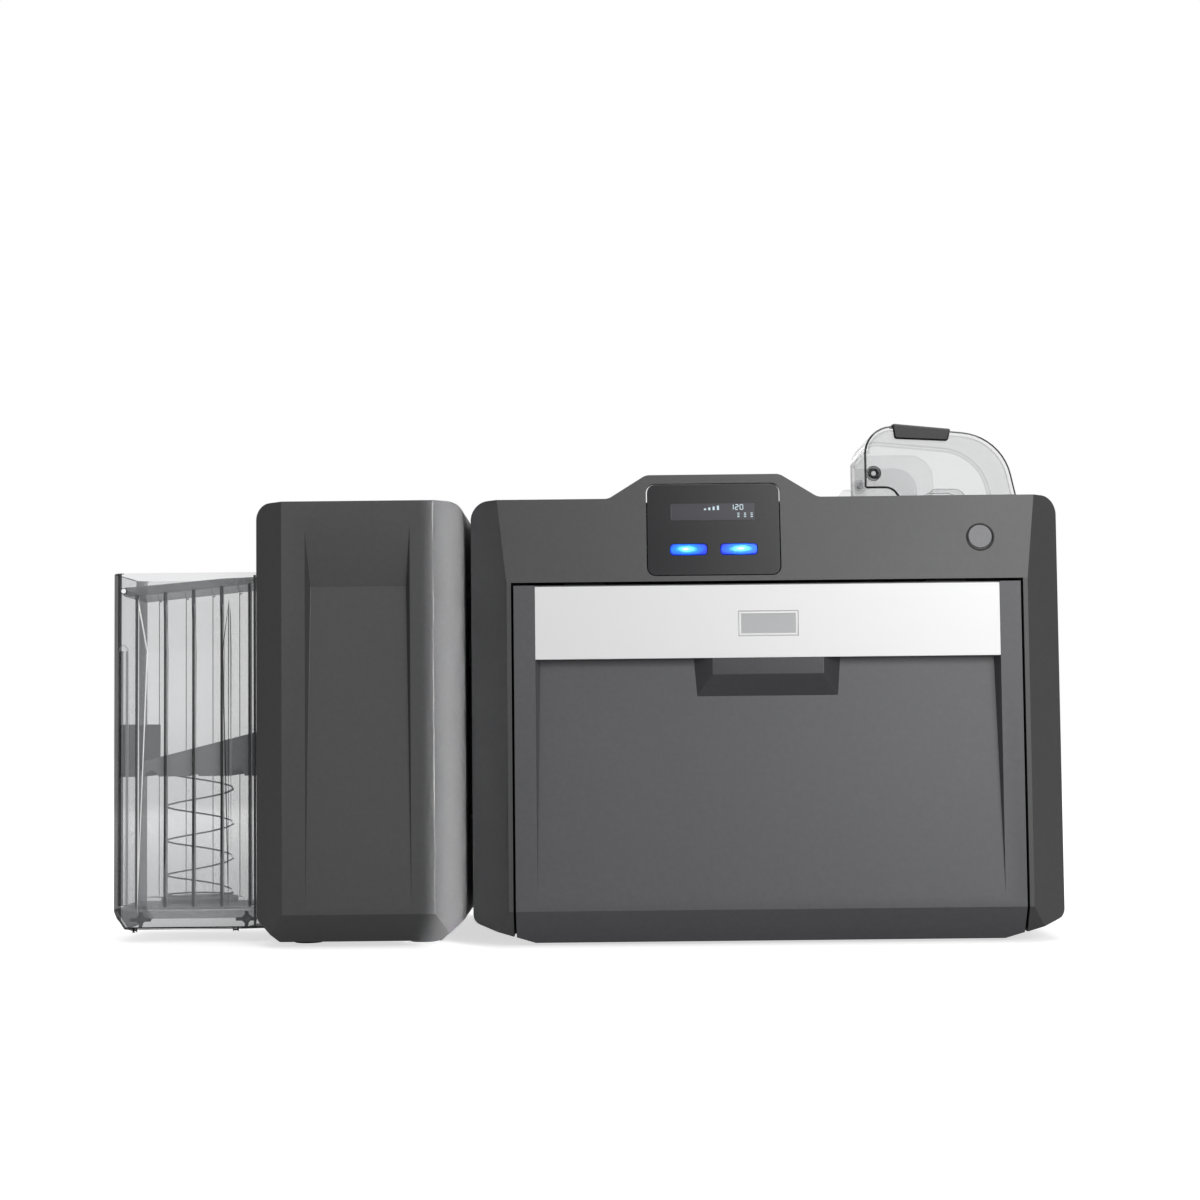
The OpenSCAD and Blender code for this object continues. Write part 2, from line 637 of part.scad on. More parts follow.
module feeder_base() {
    x0 = feed_x0;
    x1 = feed_x1;
    color([0.8, 0.81, 0.83, 0.5]) difference() {
        union() {
            block(x0, x1, dome_y[0], dome_y[1], main_top, rim_z + rim_h);
            block(well_in[0] - well_t, well_in[1] + well_t, well_y[0] - well_t, well_y[1] + well_t, card_z + 2, rim_z + rim_h);
            for (y = [dome_y[0] + clear_t + clear, dome_y[1] - clear_t - clear - 3])
                front_solid(rounded(box_outline(x0 + 0.5, x0 + ear_w, main_top, ear_z), [0, 0, 15, 3]), y, y + 3);
            front_solid(rounded(box_outline(stop_x[0], stop_x[1], main_top, main_top + stop_h), [0, 0, 4, 4]),
                card_y - stop_d / 2, card_y + stop_d / 2);
            block(stop_x[0], x0 + 1, card_y - stop_d / 2, card_y + stop_d / 2, main_top, main_top + 1.5);
            block(x0 + 0.2, x0 + clear_t, dome_y[0] + clear_t + clear, dome_y[1] - clear_t - clear, main_top, seam_z - 1.7);
        }
        block(well_in[0], well_in[1], well_y[0], well_y[1], card_z + 2 + well_t, main_top + 30);
        block(well_in[0] + 12, well_in[0] + 34, well_y[0] + 6, well_y[1] - 6, card_z, card_z + 8);
        block(well_in[0] - well_t - 1, well_in[0] + 1, well_y[0], well_y[1], card_z + 2 + well_t - 0.1, card_z + 2 + well_t + 1.2);
        rod_y(hinge_x, hinge_z, dome_pin_d, dome_y[0], dome_y[1]);
    }
}
module cover_hinge_pin() {
    color([0.7, 0.7, 0.72]) for (y = [dome_y[0], dome_y[1] - 8]) rod_y(hinge_x, hinge_z, dome_pin_d, y, y + 8);
}
weight_z = card_z + 2 + well_t + clear;
weight_gap = 0.6;
weight_x = [well_in[0] + 40.5, well_in[0] + 63.5];
weight_top = main_top + 12.5;
module card_weight() {
    color([0.75, 0.76, 0.78, 0.6]) union() {
        block(well_in[0] + weight_gap, well_in[1] - weight_gap, well_y[0] + weight_gap, well_y[1] - weight_gap,
            weight_z + 3, weight_z + 5);
        front_solid(rounded(box_outline(weight_x[0], weight_x[1], weight_z + 4, weight_top), [0, 0, 8, 3]),
            card_y - 14, card_y + 14);
    }
}

// ---------- rollers and drive ----------
shaft_y = [card_y - card_w / 2 - 6, chassis_y + chassis_t + 12];
module roller(x, z, d, y1) {
    rod_y(x, z, d, card_y - card_w / 2 + 1, card_y + card_w / 2 - 1);
    rod_y(x, z, shaft_d, shaft_y[0], y1);
}
card_x = [main_x0 + 42, well_in[0] - well_t - 1.5 - roller_d / 2];
low_z = card_z - card_gap / 2 - roller_d / 2;
high_z = card_z + card_gap / 2 + roller_d / 2;
pulley_d = 18;
module pulley(x, z) {
    rod_y(x, z, pulley_d, chassis_y + chassis_t + 2, chassis_y + chassis_t + 9);
}
module card_roller_left() {
    color([0.15, 0.15, 0.15]) { roller(card_x[0], low_z, roller_d, shaft_y[1]); pulley(card_x[0], low_z); }
}
module card_roller_right() {
    color([0.15, 0.15, 0.15]) { roller(card_x[1], low_z, roller_d, shaft_y[1]); pulley(card_x[1], low_z); }
}
feed_x = well_in[0] + 23;
module feed_roller() {
    color([0.15, 0.15, 0.15]) { roller(feed_x, low_z, roller_d, shaft_y[1]); pulley(feed_x, low_z); }
}
hot_d = 20;
hot_z = card_z - card_gap / 2 - hot_d / 2;
gear_y = [chassis_y + chassis_t + 11, chassis_y + chassis_t + 17];
module transfer_roller() {
    color([0.3, 0.3, 0.32]) {
        roller(main_cx, hot_z, hot_d, gear_y[1] + 1);
        pulley(main_cx, hot_z);
        translate([main_cx, gear_y[1], hot_z]) rotate([90, 0, 0])
            linear_extrude(gear_y[1] - gear_y[0]) gear_outline(roller_teeth, 0);
    }
}
platen_z = card_z - 89;
platen_d = 20;
module platen_roller() {
    color([0.12, 0.12, 0.12]) roller(main_cx, platen_z, platen_d, shaft_y[1]);
}
pinch_x = [card_x[0], main_cx, card_x[1]];
module pinch_rollers() {
    color([0.6, 0.6, 0.62]) for (x = pinch_x) {
        rod_y(x, high_z, roller_d, card_y - card_w / 2 + 1, card_y + card_w / 2 - 1);
        rod_y(x, high_z, shaft_d, shaft_y[0], chassis_y);
    }
}
// Outline of a gear with involute teeth, turned by a
gear_base = cos(20);
function involute(r, rb) = let (t = sqrt(pow(r / rb, 2) - 1)) t * 180 / PI - atan(t);
module gear_outline(teeth, a) {
    r = gear_m * teeth / 2;
    rb = r * gear_base;
    top = r + gear_m * 0.95;
    root = r - gear_m * 1.25;
    half = 90 / teeth - 0.5 / r * 57.3 * 0.12 + involute(r, rb);
    low = max(rb, root);
    flank = [for (k = [0:5]) low + (top - low) * k / 5];
    rotate(a) polygon([for (i = [0:teeth - 1]) let (m = 360 * i / teeth) each [
        root * [cos(m - half), sin(m - half)],
        for (q = flank) q * [cos(m - half + involute(q, rb)), sin(m - half + involute(q, rb))],
        for (k = [5:-1:0]) let (q = flank[k]) q * [cos(m + half - involute(q, rb)), sin(m + half - involute(q, rb))],
        root * [cos(m + half), sin(m + half)]]]);
}
// The motor's gear lies to the lower right of the roller's gear, tooth into gap
mesh_a = -45;
motor_shaft = 5;
mesh_r = gear_m * (motor_teeth + roller_teeth) / 2;
motor_x = main_cx + mesh_r * cos(mesh_a);
motor_z = hot_z + mesh_r * sin(mesh_a);
module motor_pinion() {
    color([0.75, 0.7, 0.5]) difference() {
        translate([motor_x, gear_y[1], motor_z]) rotate([90, 0, 0])
            linear_extrude(gear_y[1] - gear_y[0]) gear_outline(motor_teeth, pinion_turn);
        rod_y(motor_x, motor_z, motor_shaft + 2 * fit, gear_y[0] - 1, gear_y[1] + 1);
    }
}
// rotate([90, 0, 0]) shows the outlines from the front, angles run from +X towards +Z
pinion_turn = mesh_a + 180 + (mesh_a * roller_teeth) / motor_teeth + 180 / motor_teeth;
motor_y0 = gear_y[1] + 2;
motor_w = 42;
motor_d = 34;
motor_post = 17;        // from the motor's middle to its stand-offs
module drive_motor() {
    color([0.2, 0.2, 0.22]) {
        tile(motor_x - motor_w / 2, motor_x + motor_w / 2, motor_y0, motor_y0 + motor_d, motor_z - motor_w / 2,
            motor_z + motor_w / 2, 4);
        rod_y(motor_x, motor_z, motor_shaft, gear_y[0] - 1, motor_y0 + 1);
        for (p = [[-1, -1], [1, -1], [1, 1]])
            rod_y(motor_x + p.x * motor_post, motor_z + p.y * motor_post, motor_shaft, chassis_y + chassis_t, motor_y0);
    }
}
module drive_belt() {
    r = pulley_d / 2 + clear;
    ends = [[card_x[0], low_z, r], [main_cx, hot_z, r], [feed_x, low_z, r]];
    color([0.08, 0.08, 0.08]) difference() {
        front_solid(loop_path(grown(ends, 1.2)), chassis_y + chassis_t + 3, chassis_y + chassis_t + 8);
        front_solid(loop_path(ends), chassis_y + chassis_t + 2, chassis_y + chassis_t + 9);
    }
}

// ---------- chassis ----------
chassis_x = [main_x0 + wall + 1, main_x1 - wall - 1];
module shaft_hole(x, z) {
    rod_y(x, z, shaft_d + 2 * fit, chassis_y - 2, chassis_y + chassis_t + 4);
}
module chassis_plate() {
    color([0.65, 0.66, 0.67]) difference() {
        union() {
            block(chassis_x[0], chassis_x[1], chassis_y, chassis_y + chassis_t, pan_z + 14 + clear, main_top - wall - 6);
            block(main_x0 + chamfer_w + 4, main_x1 - chamfer_w - 4, chassis_y, chassis_y + 16, pan_z + pan_t, pan_z + pan_t + 2);
            block(main_x0 + chamfer_w + 4, main_x1 - chamfer_w - 4, chassis_y, chassis_y + chassis_t, pan_z + pan_t, pan_z + 16);
            for (x = pinch_x) rod_y(x, high_z, 11, chassis_y - 4, chassis_y);
        }
        for (x = [card_x[0], card_x[1], feed_x]) shaft_hole(x, low_z);
        shaft_hole(main_cx, hot_z);
        shaft_hole(main_cx, platen_z);
        for (x = pinch_x) rod_y(x, high_z, shaft_d, chassis_y - 5, chassis_y + 1);
        for (x = [main_x0 + 90, main_x1 - 90]) rod_y(x, 160, 26, chassis_y - 1, chassis_y + 3);
    }
}
shelf_z = 26;
module cartridge_shelf() {
    y0 = front + door_d + 22;
    color([0.6, 0.61, 0.62]) union() {
        block(main_x0 + 30, main_x1 - 30, y0, chassis_y, shelf_z, shelf_z + 2);
        for (x = [main_x0 + chamfer_w + 24, main_cx - 1, main_x1 - chamfer_w - 26])
            block(x, x + 2, y0 + 4, chassis_y, pan_z + pan_t, shelf_z);
    }
}
// ---------- ribbon cartridges ----------
tray_y = [card_y - web_w / 2 - 6, card_y + web_w / 2 + 5];
tray_t = 3;
hub_d = 9;
ribbon_x = main_x0 + 62;
film_x = main_x1 - 78;
tray_reach = 40;
spool_low = shelf_z + 38;
tray_top = card_z - 31;
spool_high = card_z - 69;
module tray(x, s, reach, colour) {
    out = x - s * 34;
    color(colour) difference() {
        union() {
            for (y = [tray_y[0] - tray_t, tray_y[1]]) front_solid(rounded(s > 0 ? tray_plate(x, s, reach)
                : flipped(tray_plate(x, s, reach)), [5, 5, 5, 5, 5, 5]), y, y + tray_t);
            block(min(out, out + s * 4), max(out, out + s * 4), tray_y[0] - 1, tray_y[1] + 1, shelf_z + 8, tray_top - 2);
            block(min(out, out + s * 70), max(out, out + s * 70), tray_y[0] - 1, tray_y[1] + 1, shelf_z + 2, shelf_z + 5);
            tile(x - 22, x + 22, tray_y[0] - tray_t - 14, tray_y[0] - tray_t + 1, spool_low + 36, spool_low + 50, 4);
        }
        rod_y(x, spool_low, hub_d + 2 * fit, -200, 200);
        rod_y(x, spool_high, hub_d + 2 * fit, -200, 200);
    }
}
function tray_plate(x, s, reach) = [[x - s * 34, shelf_z + 2], [x + s * 36, shelf_z + 2],
    [x + s * 36, platen_z - 40], [x + s * reach, platen_z - 22], [x + s * 30, tray_top], [x - s * 34, tray_top]];
module spool(x, z, d) {
    rod_y(x, z, d, card_y - web_w / 2, card_y + web_w / 2);
    rod_y(x, z, hub_d + 4, tray_y[0] + 0.5, tray_y[1] - 0.5);
    rod_y(x, z, hub_d, tray_y[0] - tray_t - 1, tray_y[1] + tray_t + 2);
}
module ribbon_tray() { tray(ribbon_x, 1, tray_reach, [0.85, 0.85, 0.87]); }
module film_tray() { tray(film_x, -1, tray_reach, [0.55, 0.56, 0.6]); }
module ribbon_supply_spool() { color([0.85, 0.75, 0.1]) spool(ribbon_x, spool_low, ribbon_full); }
module ribbon_takeup_spool() { color([0.5, 0.1, 0.35]) spool(ribbon_x, spool_high, ribbon_part); }
module film_supply_spool() { color([0.75, 0.77, 0.8]) spool(film_x, spool_low, film_full); }
module film_takeup_spool() { color([0.7, 0.72, 0.76]) spool(film_x, spool_high, film_part); }
module web(stops) {
    a = grown(stops, clear);
    front_solid(concat(band_path(grown(a, web_t)), flipped(band_path(a))), card_y - web_w / 2 + 0.5, card_y + web_w / 2 - 0.5);
}
head_x = main_cx - platen_d / 2 - 2;
module ribbon_web() {
    color([0.1, 0.1, 0.12]) web([[ribbon_x, spool_low, ribbon_full / 2], [head_x - 3, platen_z - 16, 2],
        [head_x - 3, platen_z + 16, 2], [ribbon_x, spool_high, ribbon_part / 2]]);
}
module film_web() {
    color([0.8, 0.82, 0.85, 0.5]) web([[film_x, spool_high, film_part / 2], [main_cx, hot_z, hot_d / 2],
        [main_cx, platen_z, platen_d / 2], [film_x, spool_low, film_full / 2]]);
}
module print_head() {
    color([0.5, 0.5, 0.53]) difference() {
        union() {
            front_solid([[head_x - 26, platen_z - 12], [head_x - 8, platen_z - 12], [head_x - 1.6, platen_z - 2],
                [head_x - 1.6, platen_z + 2], [head_x - 8, platen_z + 12], [head_x - 26, platen_z + 12]],
                card_y - card_w / 2 - 2, card_y + card_w / 2 + 2);
            block(head_x - 24, head_x - 12, card_y + card_w / 2, chassis_y, platen_z - 8, platen_z + 8);
        }
        for (i = [0:3]) block(head_x - 27, head_x - 16, card_y - card_w / 2 - 3, card_y + card_w / 2 - 2,
            platen_z - 9 + 5 * i, platen_z - 6.5 + 5 * i);
    }
}

// ---------- electronics ----------
board_back = back - wall - 14;
board_x = [main_x0 + 119, main_x0 + 299];
board_z = [90, 200];
post_in = 5;
chip_w = 22;
chip_pitch = 45;
psu_d = 56;
psu_h = 54;
module main_board() {
    color([0.05, 0.32, 0.16]) union() {
        block(board_x[0], board_x[1], board_back, board_back + board_t, board_z[0], board_z[1]);
        for (x = [board_x[0] + post_in, board_x[1] - post_in], z = [board_z[0] + post_in, board_z[1] - post_in])
            rod_y(x, z, 5, board_back + board_t, back - wall);
        for (i = [0:2]) block(board_x[0] + 20 + chip_pitch * i, board_x[0] + 20 + chip_w + chip_pitch * i,
            board_back - 4, board_back, board_z[0] + 30, board_z[0] + 30 + chip_w);
    }
}
module power_supply() {
    color([0.7, 0.71, 0.72]) block(psu_x, psu_x + psu_w,
        back - wall - 4 - psu_d, back - wall - 4, pan_z + pan_t, pan_z + pan_t + psu_h);
}
fan_y = [back - wall - 20, back - wall];
module fan_frame() {
    color([0.12, 0.12, 0.12]) difference() {
        union() {
            difference() {
                tile(fan_x - 35, fan_x + 35, fan_y[0], fan_y[1], fan_z - 35, fan_z + 35, 4);
                rod_y(fan_x, fan_z, fan_d + 4, fan_y[0] - 1, fan_y[1] + 1);
            }
            for (a = [0:45:135]) translate([fan_x, fan_y[1] - 2, fan_z]) rotate([0, a, 0])
                block(-fan_d / 2 - 3, fan_d / 2 + 3, 0, 2, -1.2, 1.2);
            for (r = [14, 24]) translate([fan_x, fan_y[1], fan_z]) rotate([90, 0, 0]) difference() {
                cylinder(r = r + 1.2, h = 2, $fn = 64);
                translate([0, 0, -1]) cylinder(r = r - 1.2, h = 4, $fn = 64);
            }
            rod_y(fan_x, fan_z, 22, fan_y[1] - 4, fan_y[1]);
            rod_y(fan_x, fan_z, 4, fan_y[0] + 4, fan_y[1] - 3);
        }
    }
}
module fan_rotor() {
    color([0.1, 0.1, 0.1]) difference() {
        union() {
            rod_y(fan_x, fan_z, 24, fan_y[0] + 1, fan_y[1] - 5);
            for (i = [0:6]) translate([fan_x, 0, fan_z]) rotate([0, i * 360 / 7, 0])
                translate([11, fan_y[0] + 8, 0]) rotate([35, 0, 0]) block(0, 17.5, -5, 5, -0.8, 0.8);
        }
        rod_y(fan_x, fan_z, 4 + 2 * fit, fan_y[0] + 3, fan_y[1]);
    }
}
socket_x = rear_x[0] + 20;
switch_x = rear_x[0] + 50;
module rear_panel() {
    z = (rear_z[0] + rear_z[1]) / 2;
    color([0.6, 0.61, 0.62]) difference() {
        union() {
            block(rear_x[0] - 5, rear_x[1] + 5, back - wall - 2, back - wall, rear_z[0] - 5, rear_z[1] + 5);
            block(socket_x - 15, socket_x + 15, back - wall - 24, back - wall, z - 12, z + 12);
            block(rear_x[1] - 52, rear_x[1] - 8, back - wall - 18, back - wall, z - 10, z + 10);
        }
        block(socket_x - 12, socket_x + 12, back - wall - 20, back, z - 8, z + 8);
        block(rear_x[1] - 46, rear_x[1] - 34, back - wall - 14, back, z - 5.5, z + 5.5);
        block(rear_x[1] - 29, rear_x[1] - 13, back - wall - 14, back, z - 6.5, z + 6.5);
        block(switch_x - 7, switch_x + 7, back - wall - 10, back, z - 10, z + 10);
    }
}
module power_switch() {
    z = (rear_z[0] + rear_z[1]) / 2;
    color([0.1, 0.1, 0.1]) difference() {
        side_solid([[back - wall - 8, z], [back - wall - 1.5, z - 9], [back - wall + 0.6, z - 8.4], [back - wall - 0.6, z],
            [back - wall + 0.6, z + 8.4], [back - wall - 1.5, z + 9]], switch_x - 6.6, switch_x + 6.6);
        rod_x(back - wall - 4, z, 2.2, switch_x - 8, switch_x + 8);
    }
}

// ---------- two-sided module ----------
mid_chamfer_w = 15;
mid_chamfer_h = 13.2;
mid_box = [[mid_x0 + mid_chamfer_w, mid_foot], [mid_x1 - mid_chamfer_w, mid_foot],
    [mid_x1, mid_foot + mid_chamfer_h], [mid_x1, mid_top], [mid_x0, mid_top], [mid_x0, mid_foot + mid_chamfer_h]];
mid_r = [0, 0, 6, 9.6, 9.6, 6];
mid_facet_d = 14.1;
mid_facet_h = 17;
module mid_mass(t, y1) {
    k = t * (sqrt(2) - 1);
    f = atan(mid_facet_d / mid_facet_h);
    intersection() {
        front_solid(t == 0 ? rounded(mid_box, mid_r) : rounded(inset(mid_box, t), thinner(mid_r, t)), mid_front - 1, y1);
        plan_solid([[mid_x0 + mid_bevel + k, mid_front + t], [mid_x1 - mid_bevel - k, mid_front + t],
            [mid_x1 - t, mid_front + mid_bevel + k], [mid_x1 - t, y1 + 1], [mid_x0 + t, y1 + 1],
            [mid_x0 + t, mid_front + mid_bevel + k]], 0, mid_top + 1);
        side_solid([[mid_front + t, mid_foot + mid_facet_h + t * tan(f / 2)],
            [mid_front + mid_facet_d + t / cos(f) - 2 * tan(f), mid_foot - 2], [y1 + 2, mid_foot - 2],
            [y1 + 2, mid_top + 1], [mid_front + t, mid_top + 1]], mid_x0, mid_x1);
    }
}
crown_drop = 16;
crease_drop = 51.6;
mid_crown = mid_top - crown_drop;
mid_crease = mid_top - crease_drop;
mid_panel_foot = mid_foot + mid_facet_h + 2;
module module_cover() {
    over = 2;
    k1 = over * (mid_crown - mid_crease) / mid_panel_d;
    k2 = over * (mid_crease - mid_panel_foot) / mid_panel_d;
    hollow = [[mid_front - over, mid_panel_foot - k2], [mid_front + mid_panel_d, mid_crease], [mid_front - over, mid_crown + k1]];
    x0 = mid_cx - mid_panel_w / 2;
    x1 = mid_cx + mid_panel_w / 2;
    color([0.32, 0.32, 0.33]) difference() {
        union() {
            difference() {
                mid_mass(0, mid_split);
                mid_mass(wall, mid_split + 1);
            }
            side_solid([[mid_front + wall - 0.2, mid_panel_foot], [mid_front + mid_panel_d + wall, mid_crease],
                [mid_front + wall - 0.2, mid_crown]], x0 - 1, x1 + 1);
        }
        tapered_hollow(x0, x1, mid_front, hollow, 0.45, mid_panel_d);
    }
}
lid_x = [mid_x0 + 16, mid_x1 - 8];
lid_y = [mid_split + 2, mid_back - 8];
lid_hinge_z = mid_top - 6;
lid_hinge_y = mid_back - 12;
// Ear of the lid's hinge: round the pin, then down to the back wall
lid_ear = [for (p = [[-5, -3], [0, -6], [9.5, -16], [9.5, -7], [5, 1], [2, 4.4], [-3, 4.4], [-5, 2]]) [lid_hinge_y + p.x, lid_hinge_z + p.y]];
module module_case() {
    color([0.3, 0.3, 0.31]) difference() {
        union() {
            difference() {
                front_solid(rounded(mid_box, mid_r), mid_split, mid_back);
                front_solid(rounded(inset(mid_box, wall), thinner(mid_r, wall)), mid_split - 1, mid_back - wall);
                block(lid_x[0] + 3, lid_x[1] - 3, lid_y[0] + 3, lid_y[1] - 3, mid_top - wall - 1, mid_top + 1);
                block(lid_x[0] - clear, lid_x[1] + clear, lid_hinge_y - 6, lid_hinge_y + 8.4, mid_top - wall - 1, mid_top + 1);
            }
            for (x = [lid_x[0] + 4, lid_x[1] - 8]) side_solid(lid_ear, x, x + 4);
        }
        for (x = [mid_x0, mid_x1]) card_slot(x);
        rod_x(lid_hinge_y, lid_hinge_z, 4, lid_x[0] - 2, lid_x[1] + 2);
    }
}
module module_lid() {
    x0 = lid_x[0];
    x1 = lid_x[1];
    color([0.34, 0.34, 0.35]) difference() {
        union() {
            block(x0, x1, lid_y[0], lid_hinge_y + 1, mid_top + clear, mid_top + lid_rise);
            for (x = [x0 + 12, x1 - 18])
                block(x, x + 6, lid_hinge_y - 4, lid_hinge_y + 4, lid_hinge_z - 4, mid_top + clear + 0.2);
        }
        rod_x(lid_hinge_y, lid_hinge_z, 4 + 2 * fit, x0, x1);
    }
}
module lid_hinge_pin() {
    color([0.7, 0.7, 0.72]) rod_x(lid_hinge_y, lid_hinge_z, 4, lid_x[0] + 4, lid_x[1] - 4);
}
flip_r = 41;
flip_z = card_z;
module flip_table() {
    color([0.5, 0.51, 0.55]) difference() {
        union() {
            for (y = [card_y - card_w / 2 - 4, card_y + card_w / 2 + 1]) tile(mid_cx - flip_r, mid_cx + flip_r, y, y + 3, flip_z - 10, flip_z + 10, 5);
            for (s = [-1, 1], t = [-1, 1]) rod_y(mid_cx + s * 28, flip_z + t * 6.6, 12, card_y - card_w / 2 - 4, card_y + card_w / 2 + 4);
            rod_y(mid_cx, flip_z, 14, card_y + card_w / 2 + 1, card_y + card_w / 2 + 18);
        }
        rod_y(mid_cx, flip_z, 8 + 2 * fit, card_y + card_w / 2 + 3, card_y + card_w / 2 + 30);
    }
}
module flip_mount() {
    y = card_y + card_w / 2 + 19;
    color([0.62, 0.63, 0.64]) union() {
        block(mid_x0 + wall + clear, mid_x1 - wall - clear, y, y + 2, mid_foot + 20, mid_top - wall - 14);
        rod_y(mid_cx, flip_z, 8, card_y + card_w / 2 + 5, y + 1);
        block(mid_x0 + wall + 14, mid_x1 - wall - 14, y, y + 30, mid_foot + wall, mid_foot + wall + 2);
        block(mid_x0 + wall + 14, mid_x1 - wall - 14, y, y + 2, mid_foot + wall, mid_foot + 21);
    }
}
link_z = [60, 170];
link_h = 16;
link_y = [card_y - 40, card_y + 60];
module module_link() {
    color([0.15, 0.15, 0.16]) for (z = link_z) block(mid_x1, main_x0, link_y[0], link_y[1], z, z + link_h);
}

// ---------- card bin ----------
bin_chamfer_w = 7.6;
bin_chamfer_h = 11.3;
bin_floor = bin_rise + 14.1;
// Front outline, reaching over above the bin's top and under below its foot
function bin_outline(over, under) = [[bin_x0 + bin_chamfer_w * (1 + under / bin_chamfer_h), bin_rise - under],
    [mid_x0, bin_rise - under], [mid_x0, bin_top + over], [bin_x0, bin_top + over],
    [bin_x0, bin_rise + bin_chamfer_h]];
module bin_body(t, z0, z1) {
    plan_solid(rounded([[bin_x0 + t, bin_y0 + t], [mid_x0 - t, bin_y0 + t], [mid_x0 - t, bin_y1 - t],
        [bin_x0 + t, bin_y1 - t]], [bin_r - t, 0, 0, bin_r - t]), z0, z1);
}
bin_panel_w = 56.4;
bin_panel_top = bin_top - 18.9;
bin_panel_crease = bin_top - 49;
bin_panel_foot = bin_rise + 23.8;
bin_panel_d = 5;
bin_panel_cx = bin_cx - 3.3;
rib_t = 1.2;
rib_d = 2.4;
rib_x0 = bin_x0 + 15.15;
rib_span = 70.8;
rib_y = [bin_y0 + clear_t + bin_panel_d + 1.2, bin_y1 - clear_t - rib_d];
arm_x = bin_x0 + 7.15;
arm_z = bin_top - 11.2;
arm_pin_d = 3;
arm_y = [rib_y[0] + 2.3, rib_y[1] - 1.6];
post_d = 6.6;           // guide post in the front left corner
post_z = bin_floor + 163;
boss_x = [bin_x0 + 17.5, mid_x0 - 12.4];
boss_z = bin_rise + 5.8;
nub_x = [bin_x0 + 13.8, mid_x0 - 18.9];
module card_bin() {
    over = 2;
    k1 = over * (bin_panel_top - bin_panel_crease) / bin_panel_d;
    k2 = over * (bin_panel_crease - bin_panel_foot) / bin_panel_d;
    x0 = bin_panel_cx - bin_panel_w / 2;
    x1 = bin_panel_cx + bin_panel_w / 2;
    color([0.8, 0.81, 0.84, 0.4]) difference() {
        union() {
            difference() {
                intersection() {
                    front_solid(bin_outline(0, 0), bin_y0, bin_y1);
                    bin_body(0, bin_rise - 1, bin_top + 1);
                }
                intersection() {
                    front_solid(inset(bin_outline(9, 9), clear_t), bin_y0, bin_y1);
                    bin_body(clear_t, bin_rise - 5, bin_top + 5);
                }
            }
            bin_body(1, bin_floor - clear_t, bin_floor);
            side_solid([[bin_y0 + clear_t - 0.2, bin_panel_foot], [bin_y0 + bin_panel_d + clear_t, bin_panel_crease],
                [bin_y0 + clear_t - 0.2, bin_panel_top]], x0 - 1, x1 + 1);
            for (i = [0:bin_ribs - 1]) bin_rib(rib_x0 + rib_span * i / (bin_ribs - 1), 6.4 * i / (bin_ribs - 1));
            rod_z(bin_x0 + 6.15, bin_y0 + post_d / 2 + 0.4, post_d, bin_floor - 1, post_z - post_d / 2);
            translate([bin_x0 + 6.15, bin_y0 + post_d / 2 + 0.4, post_z - post_d / 2]) sphere(d = post_d, $fn = 24);
            for (x = boss_x) bin_boss(x);
            for (x = nub_x) block(x - 1.5, x + 1.5, bin_y0 + 0.2, bin_y0 + clear_t, bin_rise - 1, bin_rise + 1);
        }
        tapered_hollow(x0, x1, bin_y0, [[bin_y0 - over, bin_panel_foot - k2],
            [bin_y0 + bin_panel_d, bin_panel_crease], [bin_y0 - over, bin_panel_top + k1]], 0.9, bin_panel_d);
        block(mid_x0 - clear_t - 1, mid_x0 + 1, slot_y[0], slot_y[1], platform_z - 6.6, bin_top + 1);
        rod_y(arm_x, arm_z, arm_pin_d, bin_y0 - 1, bin_y1 + 1);
    }
}
// Ribs on the front and back walls; their tops rise to the right under the arm
module bin_rib(x, rise) {
    top = arm_z - 2.6 + rise;
    block(x - rib_t / 2, x + rib_t / 2, bin_y0 + clear_t - 0.2, rib_y[0], bin_floor - 1, top);
    block(x - rib_t / 2, x + rib_t / 2, rib_y[1], bin_y1 - clear_t + 0.2, bin_floor - 1, top);
}
// Boss with crossed fins under the floor
module bin_boss(x) {
    rod_y(x, boss_z, 4.4, bin_y0 + clear_t - 0.2, bin_y0 + 10);
    block(x - 6.2, x + 6.2, bin_y0 + clear_t - 0.2, bin_y0 + 8, boss_z - 0.6, boss_z + 0.6);
    block(x - 0.6, x + 0.6, bin_y0 + clear_t - 0.2, bin_y0 + 8, boss_z - 4.4, boss_z + 4.4);
}
arm_end = mid_x0 - 3;
module bin_deflector() {
    color([0.5, 0.51, 0.53]) difference() {
        union() {
            front_solid([[arm_x, arm_z - 3.2], [arm_end, arm_z + 5.2], [arm_end, arm_z + 9.1],
                [arm_x + 60, arm_z + 8.1], [arm_x, arm_z + 3]], arm_y[0], arm_y[1]);
            rod_y(arm_x, arm_z, 6.4, arm_y[0], arm_y[1]);
        }
        rod_y(arm_x, arm_z, arm_pin_d + 2 * fit, bin_y0, bin_y1);
    }
}
module deflector_pin() {
    color([0.7, 0.7, 0.72]) rod_y(arm_x, arm_z, arm_pin_d, bin_y0, bin_y1);
}
platform_rise = 80.6;
platform_z = bin_floor + platform_rise;
